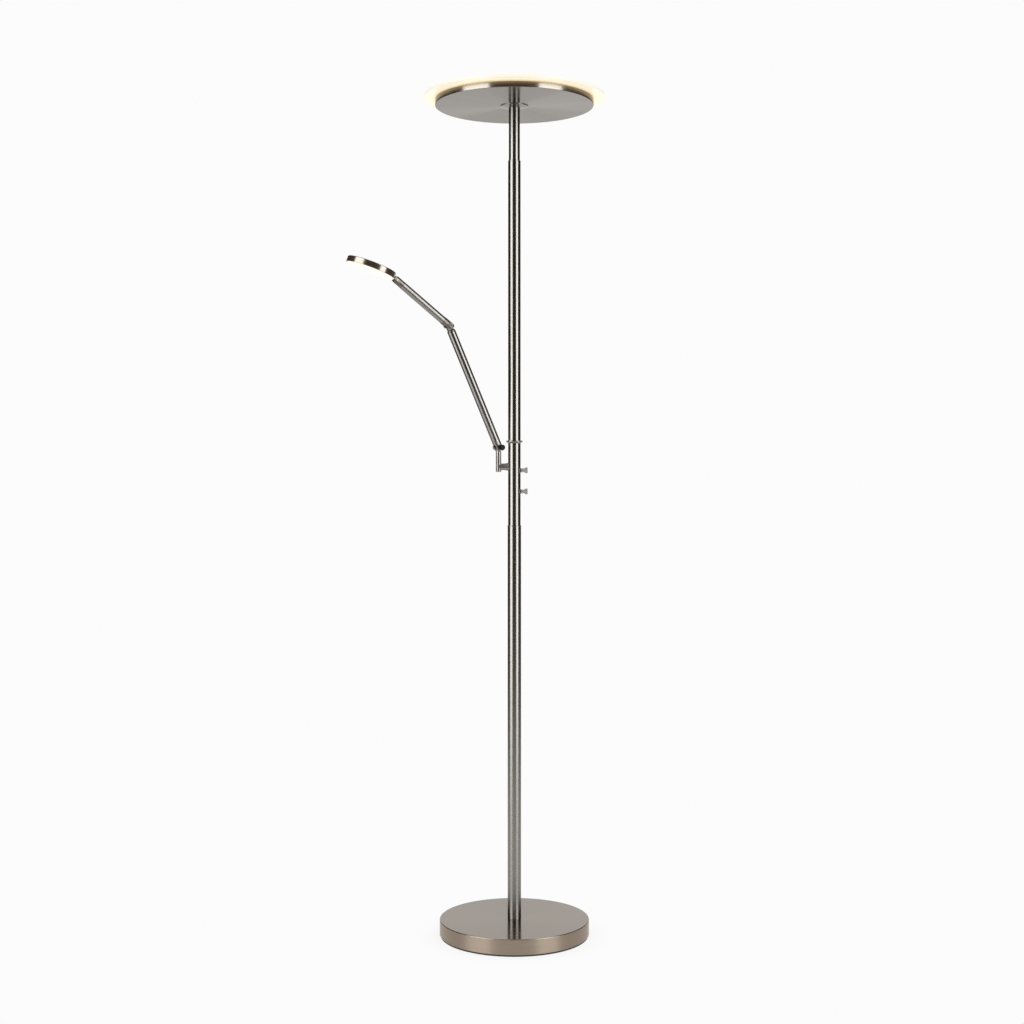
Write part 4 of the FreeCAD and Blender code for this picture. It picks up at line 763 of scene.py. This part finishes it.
# The head is round, so its X may point anywhere across its axis. Laid as near to the world's X
# as it goes, it keeps the box round the head no wider than the head.
world_x = Vector((1, 0, 0))
disc_axis = head_place.to_3x3() @ world_x
disc_x = (world_x - disc_axis * disc_axis.x).normalized()
disc_turn = Matrix((disc_x, disc_axis.cross(disc_x), disc_axis)).transposed()
disc_centre = head_place @ Vector((-head_offset / 1000, 0, head_middle / 1000))
disc_place = Matrix.Translation(disc_centre) @ disc_turn.to_4x4()

head_inside = head_radius - head_wall
head_floor = head_wall - head_half
ledge = head_half - (diffuser_thickness - diffuser_proud)
housing = spun("head_housing_spun", [
    (0, -head_half, 0), (head_radius, -head_half, 1.5), (head_radius, head_half, 0.5),
    (head_inside, head_half, 0.3), (head_inside, ledge, 0), (head_inside - ledge_width, ledge, 0),
    (head_inside - ledge_width, head_floor, 0), (0, head_floor, 0)], place=disc_place)
head_painted_glow_nickel = turned_metal("head_painted_glow_nickel", (0.268, 0.25, 0.226), (0.25, 0.232, 0.208),
                           roughness=0.2, spread=0.6, drag=2.0)
# Painted light: the housing's nickel glows faintly warm, a painted glow on metal that is no lamp.
set_on_shader(head_painted_glow_nickel, {"Emission Color": (1.0, 0.6, 0.42, 1), "Emission Strength": 0.03})
fitted(housing, head_painted_glow_nickel, "reading_head", "brushed_nickel", "head_housing")

lug_half = 2.5
lug_edge = 0.3
eye_radius = 5.2
eye_step = 12
lug_back = -8.0
lug_front = 2.0
sharp_edge = math.radians(40)
wall_middle = head_middle - head_radius + head_wall / 2
eye = [(eye_radius * math.cos(math.radians(turn)), eye_radius * math.sin(math.radians(turn)))
       for turn in range(0, -181, -eye_step)]
lug_outline = [(lug_back, wall_middle), (lug_front, wall_middle)] + eye
lug = bmesh.new()
near_side = [lug.verts.new((x / 1000, -lug_half / 1000, z / 1000)) for x, z in lug_outline]
cheek = lug.faces.new(near_side)
far_side = bmesh.ops.extrude_face_region(lug, geom=[cheek])
bmesh.ops.translate(lug, vec=(0, 2 * lug_half / 1000, 0),
                    verts=[vert for vert in far_side["geom"] if isinstance(vert, bmesh.types.BMVert)])
bmesh.ops.recalc_face_normals(lug, faces=lug.faces)
lug_edges = [edge for edge in lug.edges if edge.calc_face_angle(0) > sharp_edge]
bmesh.ops.bevel(lug, geom=lug_edges, offset=lug_edge / 1000, segments=3, profile=0.5, affect="EDGES")
# The lug wears the darker copy of the nickel, painted shade.
fitted(solid_piece("head_lug_machined", lug, head_place), painted_dark_nickel, "reading_head", "satin_nickel")

diffuser_radius = head_inside - diffuser_gap
diffuser_face = head_half + diffuser_proud
diffuser_back = diffuser_face - diffuser_thickness
head_light = lit_acrylic("lit_opal_disc", [
    (0.0, (1.0, 0.97, 0.88)), (0.7, (1.0, 0.96, 0.85)), (0.92, (1.0, 0.92, 0.73)),
    (1.0, (1.0, 0.85, 0.56))], 0.58, diffuser_radius / 1000)
diffuser = spun("head_diffuser_polished", [
    (0, diffuser_back, 0), (diffuser_radius, diffuser_back, 0.2),
    (diffuser_radius, diffuser_face, 0.8), (0, diffuser_face, 0)], place=disc_place)
fitted(diffuser, head_light, "reading_head", "opal_acrylic", "head_diffuser")

# ------------------------------------------------------------ studio
# White floor and surround, a large soft light on each side, and dark cards that only the
# metal sees, so that its tubes show the clear light and dark bands of a product photograph.
camera_distance = 3.4
camera_height = 0.989
camera_data = bpy.data.cameras.new("camera")
camera_data.lens = 55.65
camera_data.sensor_width = 36.0
camera_data.shift_x = -0.0023
camera_data.shift_y = -0.0371
camera_data.clip_end = 100.0
camera = bpy.data.objects.new("camera", camera_data)
camera.location = (0, -camera_distance, camera_height)
camera.rotation_euler = (math.radians(90), 0, 0)
bpy.context.scene.collection.objects.link(camera)
bpy.context.scene.camera = camera
bpy.context.scene.view_settings.view_transform = "Standard"

white = (1, 1, 1, 1)
paper_white = 0.973
world = bpy.data.worlds.new("white_surround")
bpy.context.scene.world = world
world.use_nodes = True
surround = world.node_tree.nodes["Background"]
surround.inputs["Color"].default_value = white
surround.inputs["Strength"].default_value = paper_white


def card(name, width, height, place):
    """A flat sheet of the studio."""
    sheet = bmesh.new()
    bmesh.ops.create_grid(sheet, x_segments=1, y_segments=1, size=0.5,
                          matrix=Matrix.Diagonal((width, height, 1, 1)))
    data = bpy.data.meshes.new(name)
    sheet.to_mesh(data)
    sheet.free()
    made = bpy.data.objects.new(name, data)
    made.matrix_world = place
    bpy.context.scene.collection.objects.link(made)
    return made


floor_width = 60
floor = card("floor", floor_width, floor_width, Matrix())
shadow_start = 0.15
shadow_end = 0.26
shadow_share = 0.16
floor_paint = bpy.data.materials.new("white_floor")
floor_paint.use_nodes = True
floor_nodes = floor_paint.node_tree.nodes
floor_nodes.remove(floor_nodes["Principled BSDF"])
floor_place = add_node(floor_paint, "TexCoord")
floor_reach = add_node(floor_paint, "VectorMath", {0: floor_place.outputs["Object"]}, operation="LENGTH")
near_lamp = add_node(floor_paint, "MapRange", {
    "Value": floor_reach.outputs["Value"], "From Min": shadow_start, "From Max": shadow_end,
    "To Min": shadow_share, "To Max": 0.0}, interpolation_type="SMOOTHSTEP")
paper = add_node(floor_paint, "BsdfDiffuse", {"Color": white})
glow = add_node(floor_paint, "Emission", {"Color": white, "Strength": paper_white})
with_shadow = add_node(floor_paint, "MixShader", {"Fac": near_lamp.outputs["Result"],
                                                  1: glow.outputs["Emission"], 2: paper.outputs["BSDF"]})
floor_surface = floor_nodes["Material Output"].inputs["Surface"]
floor_paint.node_tree.links.new(with_shadow.outputs["Shader"], floor_surface)
floor.data.materials.append(floor_paint)


def round_lamp(azimuth, distance, height):
    """Place beside the lamp, facing its axis. Azimuth 0 is the camera's side, 90 the right."""
    turn = math.radians(azimuth)
    where = Vector((math.sin(turn) * distance, -math.cos(turn) * distance, height))
    facing = Vector((where.x, where.y, 0)).normalized()
    return Matrix.Translation(where) @ facing.to_track_quat("Z", "Y").to_matrix().to_4x4()


box_radiance = 2.95
box_height = 3.1
box_distance = 2.2
box_middle = 1.65
for side, azimuth, box_width in (("left", -55, 1.6), ("right", 51.5, 1.39)):
    box_data = bpy.data.lights.new("softbox_" + side, "AREA")
    box_data.shape = "RECTANGLE"
    box_data.size = box_width
    box_data.size_y = box_height
    box_data.energy = box_radiance * math.pi * box_data.size * box_data.size_y
    softbox = bpy.data.objects.new("softbox_" + side, box_data)
    softbox.matrix_world = round_lamp(azimuth, box_distance, box_middle)
    softbox.visible_camera = False
    softbox.visible_diffuse = False
    bpy.context.scene.collection.objects.link(softbox)

flag_cloth = new_finish("flag_cloth", (0.012, 0.012, 0.012), 0.9)
for side, azimuth, distance, flag_width, flag_bottom, flag_top in (
        ("left", -114, 2.0, 3.13, 0.01, 3.41),
        ("right", 111, 2.0, 3.44, 0.01, 3.41),
        ("front", -0.5, 1.1, 1.46, 0.22, 2.5)):
    place = round_lamp(azimuth, distance, (flag_bottom + flag_top) / 2)
    flag = card("flag_" + side, flag_width, flag_top - flag_bottom, place)
    flag.data.materials.append(flag_cloth)
    flag.visible_camera = False
    flag.visible_diffuse = False
    flag.visible_transmission = False
    flag.visible_shadow = False
